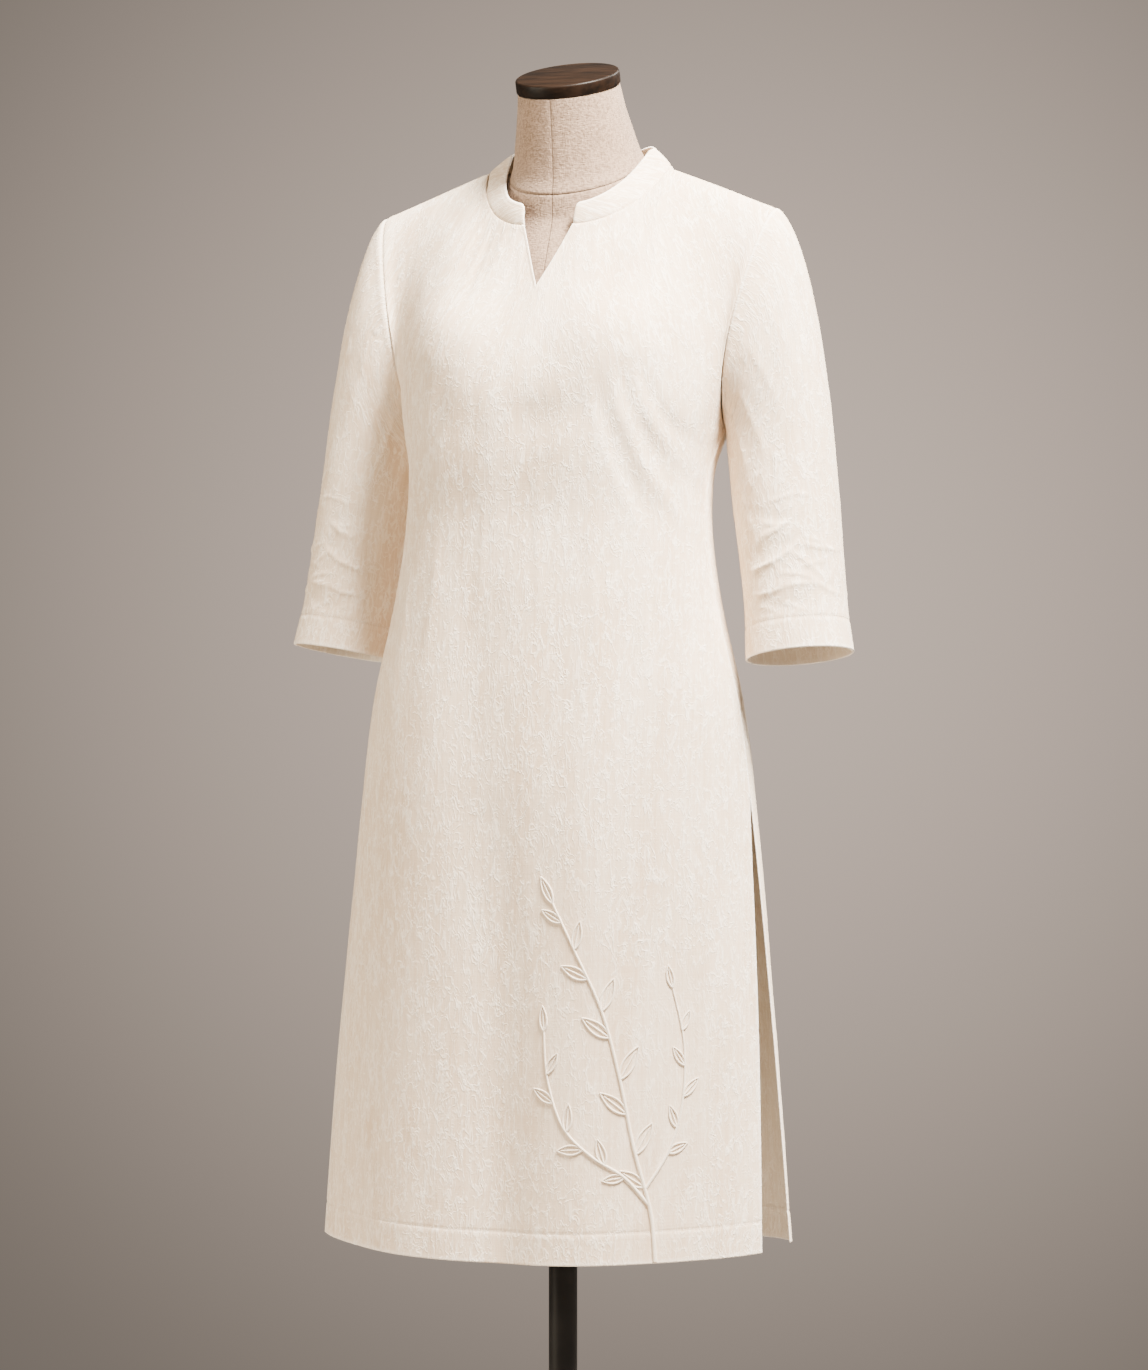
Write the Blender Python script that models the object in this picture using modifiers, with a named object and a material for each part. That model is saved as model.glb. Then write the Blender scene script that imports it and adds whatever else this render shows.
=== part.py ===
"""A knee-length kurta tunic on a limbless dress form, built from its cut and sewn pieces.

Metres, +Z up.  The front faces -Y and the wearer's left is +X.  The origin is on the floor,
under the axis of the pole.  Every cloth piece is an open surface laid out by a few tables and
given its wall by a Solidify modifier; sewn edges stand a fraction of a millimetre apart.
"""

import math

import bmesh
import bpy
from mathutils import Vector

# ---------------------------------------------------------------- cloth
CLOTH_WALL = 0.0016
SEAM_GAP = 0.0005
SHOULDER_GAP = 0.0009        # wider outside, because the two walls lean together inside
SIDE_GAP_END = 1.1           # level just above the underarm where the side seam's gap ends
COLLAR_GAP = 0.0010
ARMHOLE_GAP = 0.0009
FADE_AT_SEAM = 0.10          # share of a panel over which its folds die out at a seam
PROBE_STEP = 0.004           # share of a panel between the points that give its slope
EDGE_TOLERANCE = 0.0001
LENGTH_STEPS = 60            # points along a seam when its length is measured
HALVINGS = 24                # steps of the search for a height on a curve

FRONT_COLUMNS = 30
BACK_COLUMNS = 24
SKIRT_ROWS = 12
WAIST_ROWS = 8
YOKE_ROWS = 11
YOKE_ROW_POWER = 1.5         # crowds the yoke's rows towards the shoulder seam
SLEEVE_COLUMNS = 24
CAP_ROWS = 8
ARM_ROWS = 18
COLLAR_COLUMNS = 48
COLLAR_ROWS = 3

UNDERARM_HEIGHT = 1.168
SLIT_TOP = 0.810
FRONT_HEM_HEIGHT = 0.3655
BACK_HEM_HEIGHT = 0.3690
HEM_RISE_AT_SIDE = 0.0105
FRONT_SLIT_ANGLE = 12.5      # degrees of the hem ring that the front leaves open at each side
BACK_SLIT_ANGLE = 3.0
SLIT_OPENING_POWER = 0.62

# Body rings: half widths of front and back, their depths from the side seam, the side
# seam's place, and the power of each half's superellipse.
BODY_COLUMNS = ("z", "front_width", "back_width", "front_depth", "back_depth", "side_y",
                "front_power", "back_power")
BODY_RINGS = (
    (0.365, 0.2450, 0.2380, 0.147, 0.140, -0.010, 2.00, 2.00),
    (0.580, 0.2255, 0.2210, 0.140, 0.138, -0.011, 2.00, 2.00),
    (0.810, 0.2000, 0.2000, 0.131, 0.134, -0.013, 2.05, 2.00),
    (0.900, 0.1880, 0.1880, 0.123, 0.128, -0.013, 2.10, 2.00),
    (1.000, 0.1645, 0.1645, 0.111, 0.114, -0.013, 2.20, 2.05),
    (1.080, 0.1530, 0.1530, 0.107, 0.104, -0.008, 2.30, 2.10),
    (1.130, 0.1535, 0.1535, 0.118, 0.097, 0.004, 2.50, 2.15),
    (1.168, 0.1610, 0.1610, 0.138, 0.094, 0.024, 2.60, 2.20),
)

# ---------------------------------------------------------------- neck, shoulders, armholes
V_HEIGHT = 1.3050            # foot of the notch, on the centre line
CENTRE_TOP = Vector((0.0, -0.0400, 1.3660))  # where the centre would end without the notch
NECK_FRONT = Vector((0.0256, -0.0380, 1.3660))
NECK_FRONT_HANDLE = Vector((0.0600, -0.0340, 1.3665))
NECK_SIDE_HANDLE = Vector((0.0880, 0.0000, 1.3900))
NECK_SIDE = Vector((0.0950, 0.0410, 1.4240))
NECK_SIDE_BACK_HANDLE = Vector((0.0970, 0.0680, 1.4350))
NECK_BACK_HANDLE = Vector((0.0520, 0.1120, 1.4130))
NECK_BACK = Vector((0.0, 0.1120, 1.4110))
SHOULDER = Vector((0.2055, 0.0430, 1.3820))

FRONT_ARMHOLE_LOW = Vector((0.1680, -0.0520, 1.2250))
FRONT_ARMHOLE_HIGH = Vector((0.2045, 0.0030, 1.3780))
BACK_ARMHOLE_LOW = Vector((0.1660, 0.1050, 1.2250))
BACK_ARMHOLE_HIGH = Vector((0.2045, 0.0830, 1.3780))

V_SHARE = 2.0 / 15.0         # share of the half front that the neck notch takes
NECK_SHARE = 7.0 / 15.0      # and the share at which the neck seam meets the shoulder seam
BACK_NECK_SHARE = 5.0 / 12.0

# How each panel's threads arrive at its upper edge: direction and reach of the last stretch.
RISE_COLUMNS = ("share", "x", "y", "z", "reach")
FRONT_RISE = (
    (0.00, 0.00, 0.33, 0.94, 0.040),
    (0.14, 0.00, 0.33, 0.94, 0.045),
    (0.30, -0.04, 0.50, 0.86, 0.045),
    (0.48, -0.03, 0.96, 0.24, 0.045),
    (0.75, 0.00, 0.97, 0.22, 0.055),
    (1.00, 0.00, 0.97, 0.22, 0.060),
)
BACK_RISE = (
    (0.00, 0.00, -0.24, 0.97, 0.060),
    (0.12, 0.00, -0.40, 0.90, 0.052),
    (0.25, 0.00, -0.75, 0.52, 0.045),
    (0.42, 0.00, -0.97, 0.06, 0.042),
    (0.60, 0.00, -0.97, -0.12, 0.046),
    (1.00, 0.00, -0.97, -0.20, 0.050),
)
YOKE_START_REACH = 0.34
YOKE_PROBE = 0.01            # metres below the underarm ring that give the skirt's slope
ARMHOLE_PULL_START = 0.62    # share of the half panel from which the armhole shapes the threads

BUST_FULLNESS = 0.0140
BUST_X = 0.080
BUST_HEIGHT = 1.260
BUST_SPREAD = 0.042

# ---------------------------------------------------------------- folds of the body
# Soft folds, from one end to the other: across is a panel's x or a sleeve's angle in degrees
# (0 outside, 90 front), along is the height.
FOLD_COLUMNS = ("across_start", "along_start", "across_end", "along_end", "width", "depth")
FRONT_FOLDS = (
    (0.098, 1.222, 0.142, 1.118, 0.0095, -0.0048),
    (0.113, 1.226, 0.150, 1.150, 0.0080, -0.0040),
    (0.080, 1.210, 0.124, 1.095, 0.0110, -0.0036),
    (-0.104, 1.215, -0.148, 1.110, 0.0120, -0.0030),
    (-0.086, 1.195, -0.128, 1.095, 0.0110, -0.0020),
    (0.010, 1.205, 0.010, 0.985, 0.0330, -0.0045),
    (0.000, 1.190, 0.084, 1.198, 0.0240, -0.0040),
    (-0.095, 1.192, -0.020, 1.188, 0.0260, -0.0024),
    (0.062, 1.362, 0.078, 1.300, 0.0070, -0.0010),
    (-0.060, 1.362, -0.074, 1.290, 0.0070, -0.0010),
)
BACK_FOLDS = (
    (0.088, 1.215, 0.140, 1.120, 0.0130, -0.0028),
    (-0.086, 1.220, -0.142, 1.115, 0.0130, -0.0026),
    (0.052, 1.110, 0.120, 1.075, 0.0120, -0.0022),
    (-0.056, 1.115, -0.124, 1.070, 0.0120, -0.0024),
    (0.020, 1.100, -0.040, 1.085, 0.0110, -0.0018),
)
FOLD_GROWS = (-0.25, 0.35)   # shares of a fold's length over which it rises and dies away
FOLD_FADES = (0.60, 1.25)
# Long soft flutes of the skirt: where they stand round the panel, how wide and how deep.
FLUTE_COLUMNS = ("angle", "spread", "top", "depth")
FRONT_FLUTES = (
    (-60.0, 11.0, 0.98, -0.0030),
    (-42.0, 12.0, 1.02, 0.0040),
    (1.0, 14.0, 1.12, -0.0140),
    (33.0, 12.0, 1.00, 0.0040),
    (58.0, 10.0, 0.95, -0.0025),
)
BACK_FLUTES = (
    (-56.0, 11.0, 0.98, -0.0040),
    (-28.0, 12.0, 0.94, 0.0050),
    (2.0, 13.0, 1.00, -0.0055),
    (30.0, 12.0, 0.94, 0.0050),
    (57.0, 11.0, 0.96, -0.0040),
)

# ---------------------------------------------------------------- sleeves
# Rings square to the arm, from the armpit to the cuff: centre and radii outward and forward.
ARM_COLUMNS = ("z", "x", "y", "out_radius", "fore_radius")
ARM_RINGS = (
    (1.1480, 0.2140, 0.0365, 0.0525, 0.0510),
    (1.0950, 0.2205, 0.0330, 0.0520, 0.0520),
    (1.0400, 0.2282, 0.0275, 0.0505, 0.0515),
    (0.9900, 0.2350, 0.0215, 0.0500, 0.0500),
    (0.9465, 0.2410, 0.0150, 0.0525, 0.0505),
)
ARM_PROBE = 0.004            # metres above and below a ring that give the arm's slope
# The way that the sleeve leaves the armhole, at its top, front, underarm and back.
LEAVE_TOP = Vector((0.93, 0.0, -0.36))
LEAVE_FRONT = Vector((0.62, -0.12, -0.76))
LEAVE_UNDER = Vector((0.30, 0.02, -0.95))
LEAVE_BACK = Vector((0.62, 0.16, -0.75))
LEAVE_REACH_TOP = 0.13
LEAVE_REACH_SIDE = 0.34
ARRIVE_REACH_TOP = 0.41
ARRIVE_REACH_SIDE = 0.33

ELBOW_CREASES = (
    (140.0, 1.036, 52.0, 1.062, 0.0080, -0.0026),
    (122.0, 1.010, 30.0, 1.022, 0.0075, 0.0022),
    (128.0, 1.086, 60.0, 1.078, 0.0080, -0.0020),
    (104.0, 0.992, 50.0, 1.000, 0.0070, -0.0020),
    (70.0, 1.046, 20.0, 1.040, 0.0070, 0.0016),
    (178.0, 1.050, 232.0, 1.066, 0.0090, -0.0022),
    (190.0, 1.020, 250.0, 1.028, 0.0085, 0.0018),
)

# ---------------------------------------------------------------- collar band
# How the band stands on the neck seam: share of the way from the front end to the back.
STAND_COLUMNS = ("share", "x", "y", "z", "height")
STAND = (
    (0.00, 0.00, 0.18, 0.98, 0.0215),
    (0.12, -0.16, 0.20, 0.96, 0.0235),
    (0.28, -0.52, 0.24, 0.82, 0.0270),
    (0.46, -0.76, 0.14, 0.63, 0.0290),
    (0.60, -0.70, 0.20, 0.68, 0.0285),
    (0.80, -0.32, -0.04, 0.94, 0.0290),
    (1.00, 0.00, -0.16, 0.98, 0.0290),
)
COLLAR_CORNER = 0.0085
COLLAR_BULGE = 0.0010

# ---------------------------------------------------------------- dress form
# Rings of the padded torso: the lower ones are superellipses, the upper ones a round neck
# root with a lobe for each shoulder; "lobe" passes from one to the other, "lean" tips a ring.
TORSO_COLUMNS = ("z", "half_width", "front", "back", "y", "power", "lobe", "lean")
TORSO_RINGS = (
    (0.800, 0.1640, 0.096, 0.104, -0.012, 2.2, 0.0, 0.00),
    (0.815, 0.1720, 0.104, 0.112, -0.012, 2.2, 0.0, 0.00),
    (0.880, 0.1700, 0.104, 0.112, -0.012, 2.2, 0.0, 0.00),
    (0.970, 0.1520, 0.094, 0.100, -0.012, 2.2, 0.0, 0.00),
    (1.080, 0.1340, 0.084, 0.086, -0.008, 2.2, 0.0, 0.00),
    (1.130, 0.1380, 0.096, 0.082, 0.002, 2.3, 0.0, 0.00),
    (1.180, 0.1440, 0.116, 0.080, 0.020, 2.4, 0.0, 0.00),
    (1.225, 0.1500, 0.112, 0.078, 0.030, 2.3, 0.0, 0.00),
    (1.280, 0.1580, 0.100, 0.074, 0.036, 2.1, 0.2, 0.00),
    (1.325, 0.1600, 0.087, 0.066, 0.038, 2.0, 0.7, 0.02),
    (1.352, 0.1520, 0.077, 0.062, 0.038, 2.0, 1.0, 0.07),
    (1.373, 0.1300, 0.070, 0.061, 0.038, 2.0, 1.0, 0.15),
    (1.389, 0.1040, 0.067, 0.062, 0.038, 2.0, 1.0, 0.25),
    (1.405, 0.0800, 0.066, 0.064, 0.037, 2.0, 1.0, 0.36),
    (1.4245, 0.0660, 0.066, 0.066, 0.037, 2.0, 1.0, 0.44),
)
SHOULDER_LOBE_POWER = 5.0
TORSO_SEGMENTS = 28

NECK_COLUMNS = ("z", "y", "radius", "lean")
NECK_RINGS = (
    (1.4250, 0.0370, 0.0662, 0.44),
    (1.4350, 0.0355, 0.0625, 0.40),
    (1.4550, 0.0300, 0.0582, 0.35),
    (1.4790, 0.0220, 0.0535, 0.32),
    (1.5030, 0.0150, 0.0500, 0.325),
)
NECK_SEGMENTS = 32

CAP_RADIUS = 0.0515
CAP_THICKNESS = 0.0130
CAP_EDGE = 0.0022
CAP_GAP = 0.0005

POLE_RADIUS = 0.0140
POLE_BOTTOM = 0.0150
POLE_TOP = 0.7995
POLE_SEGMENTS = 24
BASE_RADIUS = 0.200
BASE_THICKNESS = 0.0145
BASE_EDGE = 0.0040
SOCKET_RADIUS = 0.0270
SOCKET_HEIGHT = 0.0420
SOCKET_CLEARANCE = 0.0004
SOCKET_EDGE = 0.0025
REST_GAP = 0.0004
ROUND_STEPS = 40
SHARP_ANGLE = math.radians(40.0)
WELD_DISTANCE = 0.00001
TURNED_WELD = 0.00005
EDGE_ROUNDING = 0.3          # where the eased edge's middle point lies, as a share of the edge

# ---------------------------------------------------------------- finishes
FINISHES = {
    "ivory_linen": ((0.86, 0.81, 0.74), 0.85, 0.0),
    "form_linen": ((0.66, 0.57, 0.50), 0.90, 0.0),
    "dark_wood": ((0.07, 0.035, 0.018), 0.35, 0.0),
    "black_metal": ((0.015, 0.014, 0.013), 0.38, 0.8),
}


# ================================================================ small helpers
def clear_scene():
    for item in list(bpy.data.objects):
        bpy.data.objects.remove(item, do_unlink=True)


def material(name):
    """The named finish, made once."""
    found = bpy.data.materials.get(name)
    if found:
        return found
    colour, roughness, metallic = FINISHES[name]
    made = bpy.data.materials.new(name)
    made.use_nodes = True
    shader = made.node_tree.nodes["Principled BSDF"]
    shader.inputs["Base Color"].default_value = (*colour, 1.0)
    shader.inputs["Roughness"].default_value = roughness
    shader.inputs["Metallic"].default_value = metallic
    made.diffuse_color = (*colour, 1.0)
    return made


def smooth_step(low, high, value):
    share = min(1.0, max(0.0, (value - low) / (high - low)))
    return share * share * (3.0 - 2.0 * share)


def read_table(columns, rows, key):
    """Every other column of a table at one value of its first column, smoothly between rows."""
    first = rows[0][0]
    last = rows[-1][0]
    key = min(max(key, min(first, last)), max(first, last))
    index = 0
    while index < len(rows) - 2 and (rows[index + 1][0] - key) * (last - first) < 0.0:
        index += 1
    before = rows[max(index - 1, 0)]
    start = rows[index]
    end = rows[index + 1]
    after = rows[min(index + 2, len(rows) - 1)]
    span = end[0] - start[0]
    share = (key - start[0]) / span
    values = {}
    for place, name in enumerate(columns):
        if place == 0:
            continue
        slope_in = (end[place] - before[place]) / (end[0] - before[0]) * span
        slope_out = (after[place] - start[place]) / (after[0] - start[0]) * span
        values[name] = (
            start[place] * (2 * share ** 3 - 3 * share ** 2 + 1)
            + slope_in * (share ** 3 - 2 * share ** 2 + share)
            + end[place] * (3 * share ** 2 - 2 * share ** 3)
            + slope_out * (share ** 3 - share ** 2)
        )
    return values


def bezier(start, handle_a, handle_b, end, share):
    rest = 1.0 - share
    return (start * rest ** 3 + handle_a * (3 * share * rest ** 2)
            + handle_b * (3 * share ** 2 * rest) + end * share ** 3)


def superellipse(half_width, depth, power, angle):
    """Point of a quarter ring: x sideways and y the distance from the side seam's line."""
    side = math.sin(angle)
    fore = math.cos(angle)
    reach = ((abs(side) / half_width) ** power + (abs(fore) / depth) ** power) ** (-1.0 / power)
    return reach * side, reach * fore


def named_rows(columns, rows):
    """The rows of a table, each as a dictionary."""
    return [dict(zip(columns, row)) for row in rows]


def fold_height(fold, across, along, scale=1.0):
    """Height of one soft fold at a point of the cloth; the fold fades towards both ends."""
    run_across = (fold["across_end"] - fold["across_start"]) * scale
    run_along = fold["along_end"] - fold["along_start"]
    length = math.hypot(run_across, run_along)
    off_across = (across - fold["across_start"]) * scale
    off_along = along - fold["along_start"]
    share = (off_across * run_across + off_along * run_along) / (length * length)
    sideways = (off_across * run_along - off_along * run_across) / length
    taper = smooth_step(*FOLD_GROWS, share) * (1.0 - smooth_step(*FOLD_FADES, share))
    return fold["depth"] * math.exp(-(sideways / fold["width"]) ** 2) * taper


# ================================================================ body surface
def neck_seam(side, share):
    """Neck seam of one half, from the front end (0) over the shoulder seam to the back (1)."""
    if share <= 0.5:
        point = bezier(NECK_FRONT, NECK_FRONT_HANDLE, NECK_SIDE_HANDLE, NECK_SIDE, share * 2.0)
    else:
        point = bezier(NECK_SIDE, NECK_SIDE_BACK_HANDLE, NECK_BACK_HANDLE, NECK_BACK,
                       share * 2.0 - 1.0)
    return Vector((side * point.x, point.y, point.z))


def body_ring(front, angle, height):
    """Point of the body at a height; the angle runs from the centre (0) to the side (90)."""
    ring = read_table(BODY_COLUMNS, BODY_RINGS, height)
    panel = "front" if front else "back"
    x, reach = superellipse(ring[panel + "_width"], ring[panel + "_depth"],
                            ring[panel + "_power"], angle)
    y = ring["side_y"] - reach if front else ring["side_y"] + reach
    return Vector((x, y, height))


def slit_angle(front, height):
    """Angle of the ring that a panel leaves open at the side, below the top of the slit."""
    hem = FRONT_HEM_HEIGHT if front else BACK_HEM_HEIGHT
    widest = FRONT_SLIT_ANGLE if front else BACK_SLIT_ANGLE
    drop = max(0.0, SLIT_TOP - height) / (SLIT_TOP - hem)
    return math.radians(widest) * min(1.0, drop) ** SLIT_OPENING_POWER


def skirt_point(front, share, fall):
    """Half panel below the armhole: share 0 centre to 1 side, fall 0 hem to 1 underarm."""
    hem = (FRONT_HEM_HEIGHT if front else BACK_HEM_HEIGHT) + HEM_RISE_AT_SIDE * share ** 2
    slit_share = SKIRT_ROWS / (SKIRT_ROWS + WAIST_ROWS)
    if fall <= slit_share:
        height = hem + (SLIT_TOP - hem) * fall / slit_share
    else:
        height = SLIT_TOP + (UNDERARM_HEIGHT - SLIT_TOP) * (fall - slit_share) / (1 - slit_share)
    angle = share * (math.pi / 2 - slit_angle(front, height))
    return body_ring(front, angle, height)


def top_edge(front, share):
    """Upper edge of a half panel before the notch is cut: centre, neck and shoulder seams."""
    neck_share = NECK_SHARE if front else BACK_NECK_SHARE
    if front and share <= V_SHARE:
        return CENTRE_TOP.lerp(NECK_FRONT, share / V_SHARE)
    if share <= neck_share:
        if front:
            return neck_seam(1, 0.5 * (share - V_SHARE) / (neck_share - V_SHARE))
        return neck_seam(1, 1.0 - 0.5 * share / neck_share)
    return NECK_SIDE.lerp(SHOULDER, (share - neck_share) / (1.0 - neck_share))


def rise_at_height(heights, wanted):
    """Where a rising curve reaches a height, from the heights of its four points."""
    low, high = 0.0, 1.0
    for _ in range(HALVINGS):
        middle = (low + high) / 2
        if bezier(*heights, middle) < wanted:
            low = middle
        else:
            high = middle
    return (low + high) / 2


def yoke_point(front, share, rise):
    """Half panel above the underarm: rise 0 at the underarm ring to 1 at the upper edge."""
    start = body_ring(front, share * math.pi / 2, UNDERARM_HEIGHT)
    end = top_edge(front, share)
    below = body_ring(front, share * math.pi / 2, UNDERARM_HEIGHT - YOKE_PROBE)
    reach = YOKE_START_REACH * (end.z - start.z)
    lead = start + (start - below) * (reach / YOKE_PROBE)
    way = read_table(RISE_COLUMNS, FRONT_RISE if front else BACK_RISE, share)
    direction = Vector((way["x"], way["y"], way["z"])).normalized()
    trail = end - direction * way["reach"]
    armhole_low = FRONT_ARMHOLE_LOW if front else BACK_ARMHOLE_LOW
    armhole_high = FRONT_ARMHOLE_HIGH if front else BACK_ARMHOLE_HIGH
    at_armhole = smooth_step(ARMHOLE_PULL_START, 1.0, share)
    lead = lead.lerp(armhole_low, at_armhole)
    trail = trail.lerp(armhole_high, at_armhole)
    if front and share < V_SHARE:
        notch = V_HEIGHT + (NECK_FRONT.z - V_HEIGHT) * share / V_SHARE
        rise *= rise_at_height((start.z, lead.z, trail.z, end.z), notch)
    return bezier(start, lead, trail, end, rise)


def smooth_panel_point(front, side, share, level):
    """Panel point before its folds; level 0 hem, 1 underarm, 2 upper edge."""
    if level <= 1.0:
        point = skirt_point(front, share, level)
    else:
        point = yoke_point(front, share, level - 1.0)
    return Vector((side * point.x, point.y, point.z))


def panel_folds(front, point, share):
    """How far the folds and the bust push the cloth out at a point of the panel."""
    fade = 1.0 - smooth_step(1.0 - FADE_AT_SEAM, 1.0, share)
    push = 0.0
    for fold in named_rows(FOLD_COLUMNS, FRONT_FOLDS if front else BACK_FOLDS):
        push += fold_height(fold, point.x, point.z)
    if front:
        off = math.hypot(abs(point.x) - BUST_X, point.z - BUST_HEIGHT)
        push += BUST_FULLNESS * math.exp(-(off / BUST_SPREAD) ** 2)
    push *= fade
    turn = math.degrees(math.atan2(point.x, -point.y if front else point.y))
    for flute in named_rows(FLUTE_COLUMNS, FRONT_FLUTES if front else BACK_FLUTES):
        swell = smooth_step(flute["top"], FRONT_HEM_HEIGHT, point.z)
        off = (turn - flute["angle"]) / flute["spread"]
        push += flute["depth"] * swell * math.exp(-off ** 2)
    return push


def panel_point(front, across, level):
    """Point of a whole panel: across -1 to 1 from the wearer's right, level 0 to 2."""
    side = 1.0 if across >= 0.0 else -1.0
    share = abs(across)
    point = smooth_panel_point(front, side, share, level)
    near = max(share - PROBE_STEP, 0.0)
    along = smooth_panel_point(front, side, min(near + 2 * PROBE_STEP, 1.0), level)
    along -= smooth_panel_point(front, side, near, level)
    low = max(level - PROBE_STEP, 0.0)
    upward = smooth_panel_point(front, side, share, min(low + 2 * PROBE_STEP, 2.0))
    upward -= smooth_panel_point(front, side, share, low)
    outward = (along * side).cross(upward).normalized()
    if not front:
        outward.negate()
    point += outward * panel_folds(front, point, share)
    away = -1.0 if front else 1.0
    neck_share = NECK_SHARE if front else BACK_NECK_SHARE
    at_side = share > 1.0 - EDGE_TOLERANCE
    at_top = level > 2.0 - EDGE_TOLERANCE
    if at_side and not at_top:
        point.y += away * SEAM_GAP / 2 * (1.0 - smooth_step(1.0, SIDE_GAP_END, level))
    if at_top and share > neck_share - EDGE_TOLERANCE:
        point.y += away * SHOULDER_GAP / 2
    return point


# ================================================================ sleeve surface
def armhole_length_table(front):
    low = FRONT_ARMHOLE_LOW if front else BACK_ARMHOLE_LOW
    high = FRONT_ARMHOLE_HIGH if front else BACK_ARMHOLE_HIGH
    start = body_ring(True, math.pi / 2, UNDERARM_HEIGHT)
    points = [bezier(start, low, high, SHOULDER, step / LENGTH_STEPS)
              for step in range(LENGTH_STEPS + 1)]
    reach = [0.0]
    for one, two in zip(points, points[1:]):
        reach.append(reach[-1] + (two - one).length)
    return points, reach


ARMHOLES = {front: armhole_length_table(front) for front in (True, False)}


def armhole_point(front, share):
    """Armhole point at a share of its length, from the shoulder (0) to the underarm (1)."""
    points, reach = ARMHOLES[front]
    wanted = reach[-1] * (1.0 - share)
    index = 0
    while index < len(reach) - 2 and reach[index + 1] < wanted:
        index += 1
    part = (wanted - reach[index]) / (reach[index + 1] - reach[index])
    return points[index].lerp(points[index + 1], part)


def arm_ring(angle, height):
    """Point of the sleeve on the ring whose centre is at a height; angle in degrees."""
    ring = read_table(ARM_COLUMNS, ARM_RINGS, height)
    high = min(height + ARM_PROBE, ARM_RINGS[0][0])
    low = max(height - ARM_PROBE, ARM_RINGS[-1][0])
    above = read_table(ARM_COLUMNS, ARM_RINGS, high)
    below = read_table(ARM_COLUMNS, ARM_RINGS, low)
    centre = Vector((ring["x"], ring["y"], height))
    axis = Vector((below["x"] - above["x"], below["y"] - above["y"], low - high)).normalized()
    outward = (Vector((1.0, 0.0, 0.0)) - axis * axis.x).normalized()
    forward = outward.cross(axis).normalized()
    if forward.y > 0.0:
        forward.negate()
    turn = math.radians(angle)
    return (centre + outward * (ring["out_radius"] * math.cos(turn))
            + forward * (ring["fore_radius"] * math.sin(turn))), axis


def cap_point(angle, share):
    """Point of the sleeve head, from the armhole (0) to the armpit ring (1)."""
    front = angle <= 180.0
    along = angle / 180.0 if front else 2.0 - angle / 180.0
    start = armhole_point(front, along)
    start.x += ARMHOLE_GAP
    end, axis = arm_ring(angle, ARM_RINGS[0][0])
    turn = math.radians(angle)
    at_top = max(0.0, math.cos(turn)) ** 2
    at_under = max(0.0, -math.cos(turn)) ** 2
    at_front = max(0.0, math.sin(turn)) ** 2
    at_back = max(0.0, -math.sin(turn)) ** 2
    leave = (LEAVE_TOP * at_top + LEAVE_FRONT * at_front + LEAVE_UNDER * at_under
             + LEAVE_BACK * at_back).normalized()
    distance = (end - start).length
    leave_reach = LEAVE_REACH_SIDE + (LEAVE_REACH_TOP - LEAVE_REACH_SIDE) * at_top
    arrive_reach = ARRIVE_REACH_SIDE + (ARRIVE_REACH_TOP - ARRIVE_REACH_SIDE) * at_top
    return bezier(start, start + leave * (leave_reach * distance),
                  end - axis * (arrive_reach * distance), end, share)


def sleeve_point(angle, down):
    """Sleeve point: down 0 at the armhole, 1 at the armpit ring, 2 at the cuff."""
    if down <= 1.0:
        return cap_point(angle, down)
    top = ARM_RINGS[0][0]
    height = top + (ARM_RINGS[-1][0] - top) * (down - 1.0)
    point, _ = arm_ring(angle, height)
    outward = point - arm_ring(angle + 180.0, height)[0]
    outward.normalize()
    push = 0.0
    radius = math.radians(ARM_RINGS[0][3])
    for crease in named_rows(FOLD_COLUMNS, ELBOW_CREASES):
        push += fold_height(crease, angle, height, radius)
    return point + outward * push


# ================================================================ meshes
def grid_piece(name, columns, rows, place, finish, closed=False, flip=False):
    """An object whose grid of quads is laid out by place(across 0..1, along 0..1)."""
    mesh = bpy.data.meshes.new(name)
    work = bmesh.new()
    bmesh.ops.create_grid(work, x_segments=columns, y_segments=rows, size=0.5)
    for vertex in work.verts:
        across = round((vertex.co.x + 0.5) * columns) / columns
        along = round((vertex.co.y + 0.5) * rows) / rows
        vertex.co = place(across, along)
    if closed:
        bmesh.ops.remove_doubles(work, verts=work.verts, dist=WELD_DISTANCE)
    if flip:
        bmesh.ops.reverse_faces(work, faces=work.faces)
    work.to_mesh(mesh)
    work.free()
    piece = bpy.data.objects.new(name, mesh)
    mesh.materials.append(material(finish))
    mesh.shade_smooth()
    return piece


def add_wall(piece, thickness=CLOTH_WALL):
    wall = piece.modifiers.new("cloth wall", "SOLIDIFY")
    wall.thickness = thickness
    wall.offset = -1.0
    wall.use_even_offset = True
    wall.use_rim = True
    wall.use_quality_normals = True


def fill_ends(work):
    """Close a tube's two round mouths with flat faces."""
    rims = [edge for edge in work.edges if edge.is_boundary]
    bmesh.ops.holes_fill(work, edges=rims, sides=0)
    bmesh.ops.recalc_face_normals(work, faces=work.faces)


def close_piece(piece):
    work = bmesh.new()
    work.from_mesh(piece.data)
    fill_ends(work)
    work.to_mesh(piece.data)
    work.free()
    piece.data.set_sharp_from_angle(angle=SHARP_ANGLE)


def build_panel(front):
    rows = SKIRT_ROWS + WAIST_ROWS + YOKE_ROWS
    lower = SKIRT_ROWS + WAIST_ROWS

    def place(across, along):
        row = along * rows
        level = row / lower
        if row > lower:
            level = 2.0 - (1.0 - (row - lower) / YOKE_ROWS) ** YOKE_ROW_POWER
        turn = across * 2.0 - 1.0
        return panel_point(front, turn if front else -turn, level)

    name = "front_panel" if front else "back_panel"
    columns = FRONT_COLUMNS if front else BACK_COLUMNS
    piece = grid_piece(name, columns, rows, place, "ivory_linen")
    add_wall(piece)
    return piece


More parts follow.
